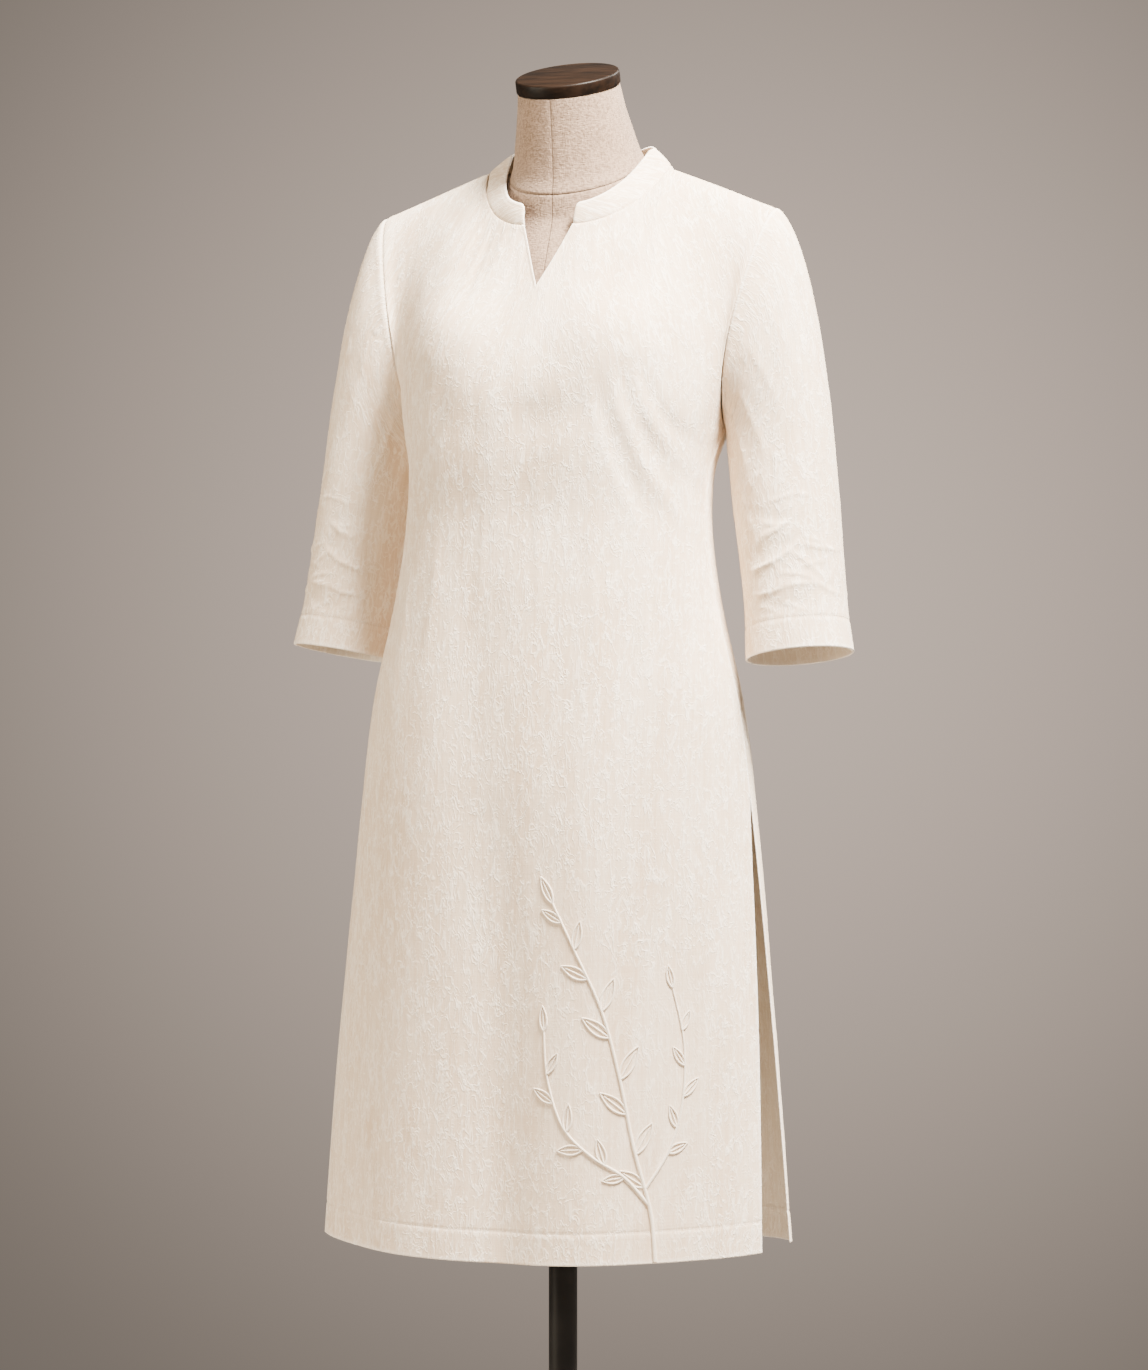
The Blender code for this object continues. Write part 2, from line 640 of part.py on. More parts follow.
def build_sleeve(side):
    rows = CAP_ROWS + ARM_ROWS

    def place(across, along):
        row = along * rows
        down = row / CAP_ROWS if row <= CAP_ROWS else 1.0 + (row - CAP_ROWS) / ARM_ROWS
        point = sleeve_point(across * 360.0, down)
        return Vector((side * point.x, point.y, point.z))

    name = "sleeve_left" if side > 0 else "sleeve_right"
    piece = grid_piece(name, SLEEVE_COLUMNS, rows, place, "ivory_linen", True, side < 0)
    add_wall(piece)
    return piece


def collar_point(turn, rise):
    """Band point: turn -1 to 1 from one front end round the back to the other."""
    side = 1.0 if turn >= 0.0 else -1.0
    share = 1.0 - abs(turn)
    foot = neck_seam(side, share)
    stand = read_table(STAND_COLUMNS, STAND, share)
    way = Vector((side * stand["x"], stand["y"], stand["z"])).normalized()
    from_end = share * COLLAR_HALF_LENGTH
    height = stand["height"]
    if from_end < COLLAR_CORNER:
        bite = COLLAR_CORNER - from_end
        height -= COLLAR_CORNER - math.sqrt(max(COLLAR_CORNER ** 2 - bite ** 2, 0.0))
    outward = Vector((foot.x, foot.y - NECK_RINGS[0][1], 0.0)).normalized()
    bulge = COLLAR_BULGE * math.sin(math.pi * rise)
    return foot + way * (COLLAR_GAP + height * rise) + outward * bulge


def half_seam_length():
    points = [neck_seam(1, step / LENGTH_STEPS) for step in range(LENGTH_STEPS + 1)]
    return sum((two - one).length for one, two in zip(points, points[1:]))


COLLAR_HALF_LENGTH = half_seam_length()


def build_collar():
    def place(across, along):
        return collar_point(1.0 - across * 2.0, along)

    piece = grid_piece("collar_band", COLLAR_COLUMNS, COLLAR_ROWS, place, "ivory_linen")
    add_wall(piece)
    return piece


def build_torso():
    def place(across, along):
        row = TORSO_RINGS[round(along * (len(TORSO_RINGS) - 1))]
        ring = dict(zip(TORSO_COLUMNS, row))
        angle = across * 2.0 * math.pi
        front = math.cos(angle) > 0.0
        depth = ring["front"] if front else ring["back"]
        x, reach = superellipse(ring["half_width"], depth, ring["power"], angle)
        lobe = abs(math.sin(angle)) ** SHOULDER_LOBE_POWER
        round_reach = depth + (ring["half_width"] - depth) * lobe
        x += (round_reach * math.sin(angle) - x) * ring["lobe"]
        reach += (round_reach * math.cos(angle) - reach) * ring["lobe"]
        return Vector((x, ring["y"] - reach, ring["z"] - ring["lean"] * reach))

    piece = grid_piece("form_torso", TORSO_SEGMENTS, len(TORSO_RINGS) - 1, place,
                       "form_linen", closed=True)
    close_piece(piece)
    return piece


def build_neck():
    def place(across, along):
        ring = dict(zip(NECK_COLUMNS, NECK_RINGS[round(along * (len(NECK_RINGS) - 1))]))
        angle = across * 2.0 * math.pi
        reach = ring["radius"] * math.cos(angle)
        return Vector((ring["radius"] * math.sin(angle), ring["y"] - reach,
                       ring["z"] - ring["lean"] * reach))

    piece = grid_piece("form_neck", NECK_SEGMENTS, len(NECK_RINGS) - 1, place,
                       "form_linen", closed=True)
    close_piece(piece)
    return piece


def turned_piece(name, radius, thickness, edge, finish, bore=0.0):
    """A round piece with eased edges, from a profile turned about its own Z axis."""
    mesh = bpy.data.meshes.new(name)
    work = bmesh.new()
    profile = [(bore, thickness), (radius - edge, thickness),
               (radius - EDGE_ROUNDING * edge, thickness - EDGE_ROUNDING * edge),
               (radius, thickness - edge),
               (radius, 0.0), (bore, 0.0)]
    points = [work.verts.new((x, 0.0, z)) for x, z in profile]
    for one, two in zip(points, points[1:]):
        work.edges.new((one, two))
    if bore:
        work.edges.new((points[-1], points[0]))
    work.to_mesh(mesh)
    work.free()
    piece = bpy.data.objects.new(name, mesh)
    mesh.materials.append(material(finish))
    screw = piece.modifiers.new("turned", "SCREW")
    screw.steps = ROUND_STEPS
    screw.render_steps = ROUND_STEPS
    screw.use_merge_vertices = True
    screw.merge_threshold = TURNED_WELD
    screw.use_normal_calculate = False
    return piece


def build_cap():
    piece = turned_piece("form_neck_cap", CAP_RADIUS, CAP_THICKNESS, CAP_EDGE, "dark_wood")
    height, y, _, lean = NECK_RINGS[-1]
    tilt = math.atan(lean)
    piece.location = (0.0, y - CAP_GAP * math.sin(tilt), height + CAP_GAP * math.cos(tilt))
    piece.rotation_euler = (tilt, 0.0, 0.0)
    return piece


def build_pole():
    mesh = bpy.data.meshes.new("form_pole")
    work = bmesh.new()
    bmesh.ops.create_cone(work, cap_ends=True, segments=POLE_SEGMENTS, radius1=POLE_RADIUS,
                          radius2=POLE_RADIUS, depth=POLE_TOP - POLE_BOTTOM)
    work.to_mesh(mesh)
    work.free()
    piece = bpy.data.objects.new("form_pole", mesh)
    mesh.materials.append(material("black_metal"))
    mesh.shade_smooth()
    mesh.set_sharp_from_angle(angle=SHARP_ANGLE)
    piece.location.z = (POLE_TOP + POLE_BOTTOM) / 2
    return piece


def build_base():
    return turned_piece("form_base", BASE_RADIUS, BASE_THICKNESS, BASE_EDGE, "black_metal")


def build_socket():
    piece = turned_piece("form_base_socket", SOCKET_RADIUS, SOCKET_HEIGHT, SOCKET_EDGE,
                         "black_metal", bore=POLE_RADIUS + SOCKET_CLEARANCE)
    piece.location.z = BASE_THICKNESS + REST_GAP
    return piece


def main():
    clear_scene()
    group = bpy.data.collections.new("kurta_tunic_on_dress_form")
    bpy.context.scene.collection.children.link(group)
    pieces = [
        build_panel(True),
        build_panel(False),
        build_sleeve(1),
        build_sleeve(-1),
        build_collar(),
        build_torso(),
        build_neck(),
        build_cap(),
        build_pole(),
        build_base(),
        build_socket(),
    ]
    for piece in pieces:
        group.objects.link(piece)


main()
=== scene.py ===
import math
import random

import bmesh
import bpy
from mathutils import Matrix, Vector, kdtree, noise
from mathutils.bvhtree import BVHTree


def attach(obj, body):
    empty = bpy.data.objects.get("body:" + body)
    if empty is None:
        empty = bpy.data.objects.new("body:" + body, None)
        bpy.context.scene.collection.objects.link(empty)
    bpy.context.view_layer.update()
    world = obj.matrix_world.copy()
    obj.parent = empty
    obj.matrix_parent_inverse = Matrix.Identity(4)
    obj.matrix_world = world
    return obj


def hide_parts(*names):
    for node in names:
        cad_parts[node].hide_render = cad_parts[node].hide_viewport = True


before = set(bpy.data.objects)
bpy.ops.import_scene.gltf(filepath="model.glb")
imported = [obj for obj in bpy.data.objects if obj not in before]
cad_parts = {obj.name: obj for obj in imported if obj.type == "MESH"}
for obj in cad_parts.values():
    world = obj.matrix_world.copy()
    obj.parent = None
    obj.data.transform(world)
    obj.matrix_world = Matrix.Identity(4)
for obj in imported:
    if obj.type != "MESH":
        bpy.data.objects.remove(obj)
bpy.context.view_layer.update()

print("frame loaded")


# small helpers
def smoothStep(low, high, value):
    share = min(1.0, max(0.0, (value - low) / (high - low)))
    return share * share * (3.0 - 2.0 * share)


# every other column of a table at one value of its first column, smoothly between rows
def readTable(columns, rows, key):
    first, last = rows[0][0], rows[-1][0]
    key = min(max(key, min(first, last)), max(first, last))
    index = 0
    while index < len(rows) - 2 and (rows[index + 1][0] - key) * (last - first) < 0.0:
        index += 1
    before, start = rows[max(index - 1, 0)], rows[index]
    end, after = rows[index + 1], rows[min(index + 2, len(rows) - 1)]
    span = end[0] - start[0]
    share = (key - start[0]) / span
    square, cube = share * share, share ** 3
    values = {}
    for place in range(1, len(columns)):
        slopeIn = (end[place] - before[place]) / (end[0] - before[0]) * span
        slopeOut = (after[place] - start[place]) / (after[0] - start[0]) * span
        values[columns[place]] = (
            start[place] * (2 * cube - 3 * square + 1) + slopeIn * (cube - 2 * square + share)
            + end[place] * (3 * square - 2 * cube) + slopeOut * (cube - square))
    return values


def bezier(start, handleA, handleB, end, share):
    rest = 1.0 - share
    return (start * rest ** 3 + handleA * (3 * share * rest ** 2)
            + handleB * (3 * share ** 2 * rest) + end * share ** 3)


def superellipse(halfWidth, depth, power, angle):
    side, fore = math.sin(angle), math.cos(angle)
    reach = ((abs(side) / halfWidth) ** power + (abs(fore) / depth) ** power) ** (-1.0 / power)
    return reach * side, reach * fore


# a smooth swell that falls away on both sides of nought
def bell(off, wide):
    return math.exp(-(off / wide) ** 2)


# puts a finished mesh in the scene, on the one body that everything rides on
def placePiece(name, mesh):
    piece = bpy.data.objects.new(name, mesh)
    bpy.context.scene.collection.objects.link(piece)
    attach(piece, "root")
    return piece


def finishPiece(work, name, material, sharpFrom=None):
    mesh = bpy.data.meshes.new(name)
    work.to_mesh(mesh)
    work.free()
    mesh.shade_smooth()
    if sharpFrom:
        mesh.set_sharp_from_angle(angle=math.radians(sharpFrom))
    mesh.materials.append(material)
    return placePiece(name, mesh)


# camera, at chest height in front of the wearer's left
cameraSet = {"turn": 22.0, "distance": 5.3, "height": 1.02, "lens": 142.0,
             "tiltDown": 1.1133, "swing": 0.1166}

turn = math.radians(cameraSet["turn"])
cameraData = bpy.data.cameras.new("camera")
cameraData.lens = cameraSet["lens"]
cameraData.sensor_width = 36.0
camera = bpy.data.objects.new("camera", cameraData)
bpy.context.scene.collection.objects.link(camera)
camera.location = (cameraSet["distance"] * math.sin(turn), -cameraSet["distance"] * math.cos(turn),
                   cameraSet["height"])
camera.rotation_euler = (math.pi / 2 - math.radians(cameraSet["tiltDown"]), 0.0,
                         turn - math.radians(cameraSet["swing"]))
bpy.context.scene.camera = camera


# lights: azimuth 0 is straight in front, 90 the wearer's left
lightAim = Vector((0.0, 0.0, 1.0))
lightSet = {
    "key": {"azimuth": 65, "elevation": 57, "distance": 3.2, "size": 1.1, "watts": 1075,
            "colour": (1.0, 0.932, 0.848)},
    "high fill": {"azimuth": -12, "elevation": 62, "distance": 3.2, "size": 2.0, "watts": 32,
                  "colour": (1.0, 0.88, 0.76)},
    "far fill": {"azimuth": -50, "elevation": 8, "distance": 3.2, "size": 1.8, "watts": 134,
                 "colour": (1.0, 0.872, 0.68)},
    "back rim": {"azimuth": 150, "elevation": 40, "distance": 3.2, "size": 1.6, "watts": 110,
                 "colour": (1.0, 0.95, 0.88)},
}
for name, light in lightSet.items():
    azimuth, elevation = math.radians(light["azimuth"]), math.radians(light["elevation"])
    data = bpy.data.lights.new(name, "AREA")
    data.shape = "DISK"
    data.size = light["size"]
    data.energy = light["watts"]
    data.color = light["colour"]
    lamp = bpy.data.objects.new(name, data)
    bpy.context.scene.collection.objects.link(lamp)
    way = Vector((math.sin(azimuth) * math.cos(elevation), -math.cos(azimuth) * math.cos(elevation),
                  math.sin(elevation)))
    lamp.location = lightAim + way * light["distance"]
    lamp.rotation_euler = way.to_track_quat("Z", "Y").to_euler()


# node trees
def addNode(tree, kind, **settings):
    made = tree.nodes.new(kind)
    for key, value in settings.items():
        if key in made.inputs:
            made.inputs[key].default_value = value
        else:
            setattr(made, key, value)
    return made


def mathNode(tree, operation, source, value=0.5, other=None):
    made = addNode(tree, "ShaderNodeMath", operation=operation)
    tree.links.new(source.outputs[0], made.inputs[0])
    if other is None:
        made.inputs[1].default_value = value
    else:
        tree.links.new(other.outputs[0], made.inputs[1])
    return made


def rangeNode(tree, source, low, high, toLow=0.0, toHigh=1.0, output=0):
    made = addNode(tree, "ShaderNodeMapRange", interpolation_type="SMOOTHSTEP")
    for key, value in zip(("From Min", "From Max", "To Min", "To Max"), (low, high, toLow, toHigh)):
        made.inputs[key].default_value = value
    tree.links.new(source.outputs[output], made.inputs["Value"])
    return made


def mixColour(tree, factor, first, second):
    made = addNode(tree, "ShaderNodeMix", data_type="RGBA")
    tree.links.new(factor.outputs[0], made.inputs[0])
    for place, colour in ((6, first), (7, second)):
        if isinstance(colour, tuple):
            made.inputs[place].default_value = (*colour, 1.0)
        else:
            tree.links.new(colour.outputs[2], made.inputs[place])
    return made


# noise read on a stretched copy of the coordinates
def stretchedNoise(tree, coordinate, output, stretch, detail=2.0, roughness=0.5, distortion=0.0,
                   shift=0.0):
    mapping = addNode(tree, "ShaderNodeMapping", Scale=stretch, Location=(shift, shift * 0.7, 0.0))
    tree.links.new(coordinate.outputs[output], mapping.inputs["Vector"])
    made = addNode(tree, "ShaderNodeTexNoise", Scale=1.0, Detail=detail, Roughness=roughness,
                   Distortion=distortion)
    tree.links.new(mapping.outputs[0], made.inputs["Vector"])
    return made


def newMaterial(name, roughness, sheen=0.0):
    made = bpy.data.materials.new(name)
    made.use_nodes = True
    shader = made.node_tree.nodes["Principled BSDF"]
    shader.inputs["Roughness"].default_value = roughness
    shader.inputs["Sheen Weight"].default_value = sheen
    shader.inputs["Sheen Roughness"].default_value = 0.5
    return made, made.node_tree, shader


def addBump(tree, height, shader, distance, strength=1.0, before=None):
    made = addNode(tree, "ShaderNodeBump", Strength=strength, Distance=distance)
    tree.links.new(height.outputs[0], made.inputs["Height"])
    if before:
        tree.links.new(before.outputs[0], made.inputs["Normal"])
    tree.links.new(made.outputs[0], shader.inputs["Normal"])
    return made


# studio: plain pale floor fading out, and a plain warm grey all round
studioSet = {"floor": (0.30, 0.268, 0.238), "floorRadius": 1.7, "fade": (0.55, 0.98),
             "edge": (0.185, 0.157, 0.133), "middle": (0.74, 0.60, 0.51), "spot": 12.0,
             "swing": -1.55, "lift": 0.21}

bpy.ops.mesh.primitive_circle_add(vertices=96, radius=studioSet["floorRadius"], fill_type="NGON")
floor = bpy.context.object
floor.name = "studioFloor"
floorMaterial, tree, shader = newMaterial("paleFloor", 0.75)
shader.inputs["Base Color"].default_value = (*studioSet["floor"], 1.0)
coordinate = addNode(tree, "ShaderNodeTexCoord")
length = addNode(tree, "ShaderNodeVectorMath", operation="LENGTH")
tree.links.new(coordinate.outputs["Object"], length.inputs[0])
fade = rangeNode(tree, length, *(studioSet["floorRadius"] * share for share in studioSet["fade"]),
                 1.0, 0.0, "Value")
tree.links.new(fade.outputs[0], shader.inputs["Alpha"])
floor.data.materials.append(floorMaterial)

world = bpy.data.worlds.new("studio")
world.use_nodes = True
bpy.context.scene.world = world
tree = world.node_tree
background = tree.nodes["Background"]
coordinate = addNode(tree, "ShaderNodeTexCoord")
swing = turn + math.radians(studioSet["swing"])
middleWay = Vector((-math.sin(swing), math.cos(swing), math.radians(studioSet["lift"])))
offMiddle = addNode(tree, "ShaderNodeVectorMath", operation="DISTANCE")
tree.links.new(coordinate.outputs["Generated"], offMiddle.inputs[0])
offMiddle.inputs[1].default_value = middleWay.normalized()
glow = rangeNode(tree, offMiddle, 0.0, math.radians(studioSet["spot"]), output="Value")
shade = mixColour(tree, glow, studioSet["middle"], studioSet["edge"])
tree.links.new(shade.outputs[2], background.inputs["Color"])
background.inputs["Strength"].default_value = 1.0
print("camera, lights and studio made")


# linen of the garment, on a UV map in metres: u across and v up the cloth
linenSet = {
    "light": (0.87, 0.732, 0.570), "deep": (0.65, 0.470, 0.300),
    # inner faces, painted paler than the outside as painted light
    "insidePaintedPale": (0.92, 0.83, 0.675), "insidePaintedDeep": (0.77, 0.64, 0.48),
    # painted highlight colour of edges and crests, painted shade colour of stitch hollows, and the
    # width of both
    "paintedLight": (0.98, 0.885, 0.77), "paintedShade": (0.46, 0.32, 0.195), "paintedEdgeWide": 0.0013,
    "slubDepth": 0.00022, "crinkleDepth": 0.00027, "weaveDepth": 0.00006, "calmed": 0.60,
    # the last two: how much paler the crinkle ridges are painted, a painted highlight
    "streak": (0.36, 0.66), "blotched": (-0.10, 0.22), "ridgePaintedHighlight": 0.46, "ridgePaintedLight": 0.32,
    # stretch of each noise across and along the cloth
    "upSlub": (430.0, 12.0, 1.0), "crossSlub": (18.0, 640.0, 1.0), "upYarn": (1500.0, 260.0, 1.0),
    "crossYarn": (240.0, 1500.0, 1.0), "blotch": (30.0, 5.0, 1.0), "crumple": (60.0, 36.0, 1.0),
    # layers of crinkle: stretch across and along, shift of the noise, width of a ridge
    "ridges": ((112.0, 34.0, 0.0, 0.050), (160.0, 62.0, 21.0, 0.056), (92.0, 44.0, 37.0, 0.042)),
}


def linenCloth(name, light, deep, crinkle=1.0):
    made, tree, shader = newMaterial(name, 0.88, sheen=0.12)
    uv = addNode(tree, "ShaderNodeUVMap", uv_map="cloth")
    upSlub = stretchedNoise(tree, uv, 0, linenSet["upSlub"], 3.0)
    crossSlub = stretchedNoise(tree, uv, 0, linenSet["crossSlub"], 3.0, shift=7.0)
    upYarn = stretchedNoise(tree, uv, 0, linenSet["upYarn"], 1.0, shift=3.0)
    crossYarn = stretchedNoise(tree, uv, 0, linenSet["crossYarn"], 1.0, shift=5.0)
    blotch = stretchedNoise(tree, uv, 0, linenSet["blotch"], 3.0, shift=11.0)
    slubs = mathNode(tree, "ADD", upSlub, other=mathNode(tree, "MULTIPLY", crossSlub, 0.45))
    yarns = mathNode(tree, "ADD", upYarn, other=crossYarn)
    # thin curved ridges along one level of a noise, broken up by a second one
    ridges = None
    for across, along, shift, width in linenSet["ridges"]:
        wander = stretchedNoise(tree, uv, 0, (across, along, 1.0), 2.0, 0.5, 0.9, shift=shift)
        level = mathNode(tree, "ABSOLUTE", mathNode(tree, "SUBTRACT", wander, 0.5))
        ridge = rangeNode(tree, level, 0.0, width, 1.0, 0.0)
        patch = stretchedNoise(tree, uv, 0, (across * 0.7, along * 0.8, 1.0), 1.0, shift=shift + 50)
        kept = mathNode(tree, "MULTIPLY", ridge, other=rangeNode(tree, patch, 0.40, 0.56))
        ridges = kept if ridges is None else mathNode(tree, "ADD", ridges, other=kept)
    # the cloth lies calmer under the sprig
    calm = addNode(tree, "ShaderNodeAttribute", attribute_name="calm")
    rough = addNode(tree, "ShaderNodeMapRange", **{"To Min": 1.0,
                                                   "To Max": 1.0 - linenSet["calmed"]})
    tree.links.new(calm.outputs["Fac"], rough.inputs["Value"])
    ridges = mathNode(tree, "MULTIPLY", ridges, other=rough)
    rumple = stretchedNoise(tree, uv, 0, linenSet["crumple"], 3.0, 0.55, 1.0, shift=90.0)
    folds = mathNode(tree, "ADD", mathNode(tree, "MULTIPLY", ridges, 0.85),
                     other=mathNode(tree, "MULTIPLY", mathNode(tree, "MULTIPLY", rumple, 0.5),
                                    other=rough))
    # colour: slubs and blotches a little deeper, the crinkle ridges painted a little paler as a
    # painted highlight
    streak = rangeNode(tree, slubs, 0.58, 0.90, *linenSet["streak"])
    patchy = rangeNode(tree, blotch, 0.35, 0.70, *linenSet["blotched"])
    toneMix = mathNode(tree, "SUBTRACT", mathNode(tree, "ADD", streak, other=patchy),
                    other=mathNode(tree, "MULTIPLY", ridges, linenSet["ridgePaintedHighlight"]))
    base = mixColour(tree, toneMix, light, deep)
    # painted highlight: edges, seam crests and the crests of creases painted paler; painted shade:
    # the hollow of a stitch line painted deeper
    paintedLight = addNode(tree, "ShaderNodeAttribute", attribute_name="paintedLight")
    crest, paintedShade = (addNode(tree, "ShaderNodeMapRange") for _ in range(2))
    paintedShade.inputs["From Max"].default_value = -1.0
    for place in (crest, paintedShade):
        tree.links.new(paintedLight.outputs["Fac"], place.inputs["Value"])
    crest = mathNode(tree, "ADD", crest,
                     other=mathNode(tree, "MULTIPLY", ridges, linenSet["ridgePaintedLight"]))
    base = mixColour(tree, crest, base, linenSet["paintedLight"])
    base = mixColour(tree, paintedShade, base, linenSet["paintedShade"])
    tree.links.new(base.outputs[2], shader.inputs["Base Color"])
    first = addBump(tree, folds, shader, linenSet["crinkleDepth"] * crinkle)
    second = addBump(tree, slubs, shader, linenSet["slubDepth"], before=first)
    addBump(tree, yarns, shader, linenSet["weaveDepth"], before=second)
    return made


ivoryLinen = linenCloth("ivoryLinen", linenSet["light"], linenSet["deep"])
ivoryFlat = linenCloth("ivoryCollarLinen", linenSet["light"], linenSet["deep"], 0.45)
# the inner faces of the cloth are painted paler than the outside, a painted light on the inside of
# the skirt, the slits and the cuffs
ivoryInsidePaintedPale = linenCloth("ivoryLinenInsidePaintedPale", linenSet["insidePaintedPale"], linenSet["insidePaintedDeep"], 0.6)

threadSet = {"colour": (0.86, 0.77, 0.645), "twist": 2600.0, "depth": 0.0002}
ivoryThread, tree, shader = newMaterial("ivoryThread", 0.62, sheen=0.25)
coordinate = addNode(tree, "ShaderNodeTexCoord")
strand = addNode(tree, "ShaderNodeTexNoise", Scale=threadSet["twist"], Detail=1.0)
tree.links.new(coordinate.outputs["Object"], strand.inputs["Vector"])
tone = mixColour(tree, rangeNode(tree, strand, 0.35, 0.7, 0.0, 0.5), threadSet["colour"],
                 linenSet["deep"])
tree.links.new(tone.outputs[2], shader.inputs["Base Color"])
addBump(tree, strand, shader, threadSet["depth"])


# linen that covers the form
coverSet = {"light": (0.338, 0.232, 0.158), "deep": (0.199, 0.129, 0.082), "seamHalf": 0.0011,
            "weaveDepth": 0.0005, "seamDepth": 0.0006, "upYarn": (760.0, 760.0, 190.0),
            "crossYarn": (210.0, 210.0, 820.0), "fleck": (340.0, 340.0, 340.0),
            "blotch": (28.0, 28.0, 28.0)}
coverLinen, tree, shader = newMaterial("coverLinen", 0.92, sheen=0.10)
coordinate = addNode(tree, "ShaderNodeTexCoord")
upYarn = stretchedNoise(tree, coordinate, "Object", coverSet["upYarn"], 2.0)
crossYarn = stretchedNoise(tree, coordinate, "Object", coverSet["crossYarn"], 2.0, shift=4.0)
fleck = stretchedNoise(tree, coordinate, "Object", coverSet["fleck"], 3.0, shift=9.0)
blotch = stretchedNoise(tree, coordinate, "Object", coverSet["blotch"], 3.0, shift=2.0)
yarns = mathNode(tree, "ADD", upYarn, other=crossYarn)
toneMix = mathNode(tree, "ADD", rangeNode(tree, yarns, 0.80, 1.20, 0.0, 0.50),
                other=rangeNode(tree, fleck, 0.42, 0.62, -0.10, 0.50))
toneMix = mathNode(tree, "ADD", toneMix, other=rangeNode(tree, blotch, 0.35, 0.7, -0.12, 0.14))
# the upright seam at the middle of the front lies at u = 0 on the UV map
uv = addNode(tree, "ShaderNodeUVMap", uv_map="cloth")
parted = addNode(tree, "ShaderNodeSeparateXYZ")
tree.links.new(uv.outputs[0], parted.inputs[0])
seam = rangeNode(tree, mathNode(tree, "ABSOLUTE", parted), 0.0, coverSet["seamHalf"], 1.0, 0.0)
toneMix = mathNode(tree, "ADD", toneMix, other=mathNode(tree, "MULTIPLY", seam, 0.8))
tone = mixColour(tree, toneMix, coverSet["light"], coverSet["deep"])
tree.links.new(tone.outputs[2], shader.inputs["Base Color"])
first = addBump(tree, yarns, shader, coverSet["weaveDepth"])
second = addBump(tree, fleck, shader, coverSet["weaveDepth"], before=first)
addBump(tree, mathNode(tree, "MULTIPLY", seam, -1.0), shader, coverSet["seamDepth"],
        before=second)

# dark turned wood and black painted metal
woodSet = {"deep": (0.0026, 0.0015, 0.0009), "pale": (0.0140, 0.0070, 0.0037),
           "specular": 0.13, "coat": 0.02, "coatRoughness": 0.30}
metalSet = {"deep": (0.0030, 0.0026, 0.0022), "pale": (0.0070, 0.0062, 0.0054),
            "specular": 0.22, "roughness": (0.36, 0.50)}
darkWood, tree, shader = newMaterial("darkWood", 0.46)
shader.inputs["Specular IOR Level"].default_value = woodSet["specular"]
shader.inputs["Coat Weight"].default_value = woodSet["coat"]
shader.inputs["Coat Roughness"].default_value = woodSet["coatRoughness"]
coordinate = addNode(tree, "ShaderNodeTexCoord")
grain = stretchedNoise(tree, coordinate, "Object", (22.0, 230.0, 160.0), 5.0, 0.6, 0.8)
figure = stretchedNoise(tree, coordinate, "Object", (9.0, 46.0, 40.0), 3.0, 0.5, 1.6, shift=3.0)
shown = mathNode(tree, "ADD", mathNode(tree, "MULTIPLY", grain, 0.6),
                 other=mathNode(tree, "MULTIPLY", figure, 0.6))
tone = mixColour(tree, rangeNode(tree, shown, 0.42, 0.82), woodSet["deep"], woodSet["pale"])
tree.links.new(tone.outputs[2], shader.inputs["Base Color"])
addBump(tree, grain, shader, 0.0004, 0.6)

blackMetal, tree, shader = newMaterial("blackMetal", 0.42)
shader.inputs["Specular IOR Level"].default_value = metalSet["specular"]
coordinate = addNode(tree, "ShaderNodeTexCoord")
speck = stretchedNoise(tree, coordinate, "Object", (700.0, 700.0, 700.0), 2.0)
cloud = stretchedNoise(tree, coordinate, "Object", (14.0, 14.0, 30.0), 3.0, shift=6.0)
tone = mixColour(tree, rangeNode(tree, cloud, 0.3, 0.7), metalSet["deep"], metalSet["pale"])
tree.links.new(tone.outputs[2], shader.inputs["Base Color"])
dull = rangeNode(tree, cloud, 0.3, 0.7, *metalSet["roughness"])
tree.links.new(dull.outputs[0], shader.inputs["Roughness"])
addBump(tree, speck, shader, 0.0001, 0.5)
print("materials made")


# form of the body panels: rings from hem to underarm, then curves up to neck and shoulder
bodyForm = {
    "columns": ("z", "frontWidth", "backWidth", "frontDepth", "backDepth", "sideY",
                "frontPower", "backPower"),
    "rings": (
        (0.365, 0.2450, 0.2380, 0.147, 0.140, -0.010, 2.00, 2.00),
        (0.580, 0.2255, 0.2210, 0.140, 0.138, -0.011, 2.00, 2.00),
        (0.810, 0.2000, 0.2000, 0.131, 0.134, -0.013, 2.05, 2.00),
        (0.900, 0.1880, 0.1880, 0.123, 0.128, -0.013, 2.10, 2.00),
        (1.000, 0.1645, 0.1645, 0.111, 0.114, -0.013, 2.20, 2.05),
        (1.080, 0.1530, 0.1530, 0.107, 0.104, -0.008, 2.30, 2.10),
        (1.130, 0.1535, 0.1535, 0.118, 0.097, 0.004, 2.50, 2.15),
        (1.168, 0.1610, 0.1610, 0.138, 0.094, 0.024, 2.60, 2.20),
    ),
    "underarm": 1.168, "slitTop": 0.810, "slitLevel": 0.6,
    "frontHem": 0.3655, "backHem": 0.3690, "hemRise": 0.0105,
    "frontSlit": 12.5, "backSlit": 3.0, "slitPower": 0.62,
    "vShare": 2.0 / 15.0, "neckShare": 7.0 / 15.0, "backNeckShare": 5.0 / 12.0,
    "startReach": 0.34, "armholePull": 0.62, "slopeStep": 0.01,
}
neckForm = {
    "vHeight": 1.3050, "centreTop": Vector((0.0, -0.0400, 1.3660)),
    "front": Vector((0.0256, -0.0380, 1.3660)), "frontHandle": Vector((0.0600, -0.0340, 1.3665)),
    "sideHandle": Vector((0.0880, 0.0000, 1.3900)), "side": Vector((0.0950, 0.0410, 1.4240)),
    "sideBackHandle": Vector((0.0970, 0.0680, 1.4350)),
    "backHandle": Vector((0.0520, 0.1120, 1.4130)), "back": Vector((0.0, 0.1120, 1.4110)),
    "shoulder": Vector((0.2055, 0.0430, 1.3820)),
}
armholeForm = {
    True: (Vector((0.1680, -0.0520, 1.2250)), Vector((0.2045, 0.0030, 1.3780))),
    False: (Vector((0.1660, 0.1050, 1.2250)), Vector((0.2045, 0.0830, 1.3780))),
}
riseColumns = ("share", "x", "y", "z", "reach")
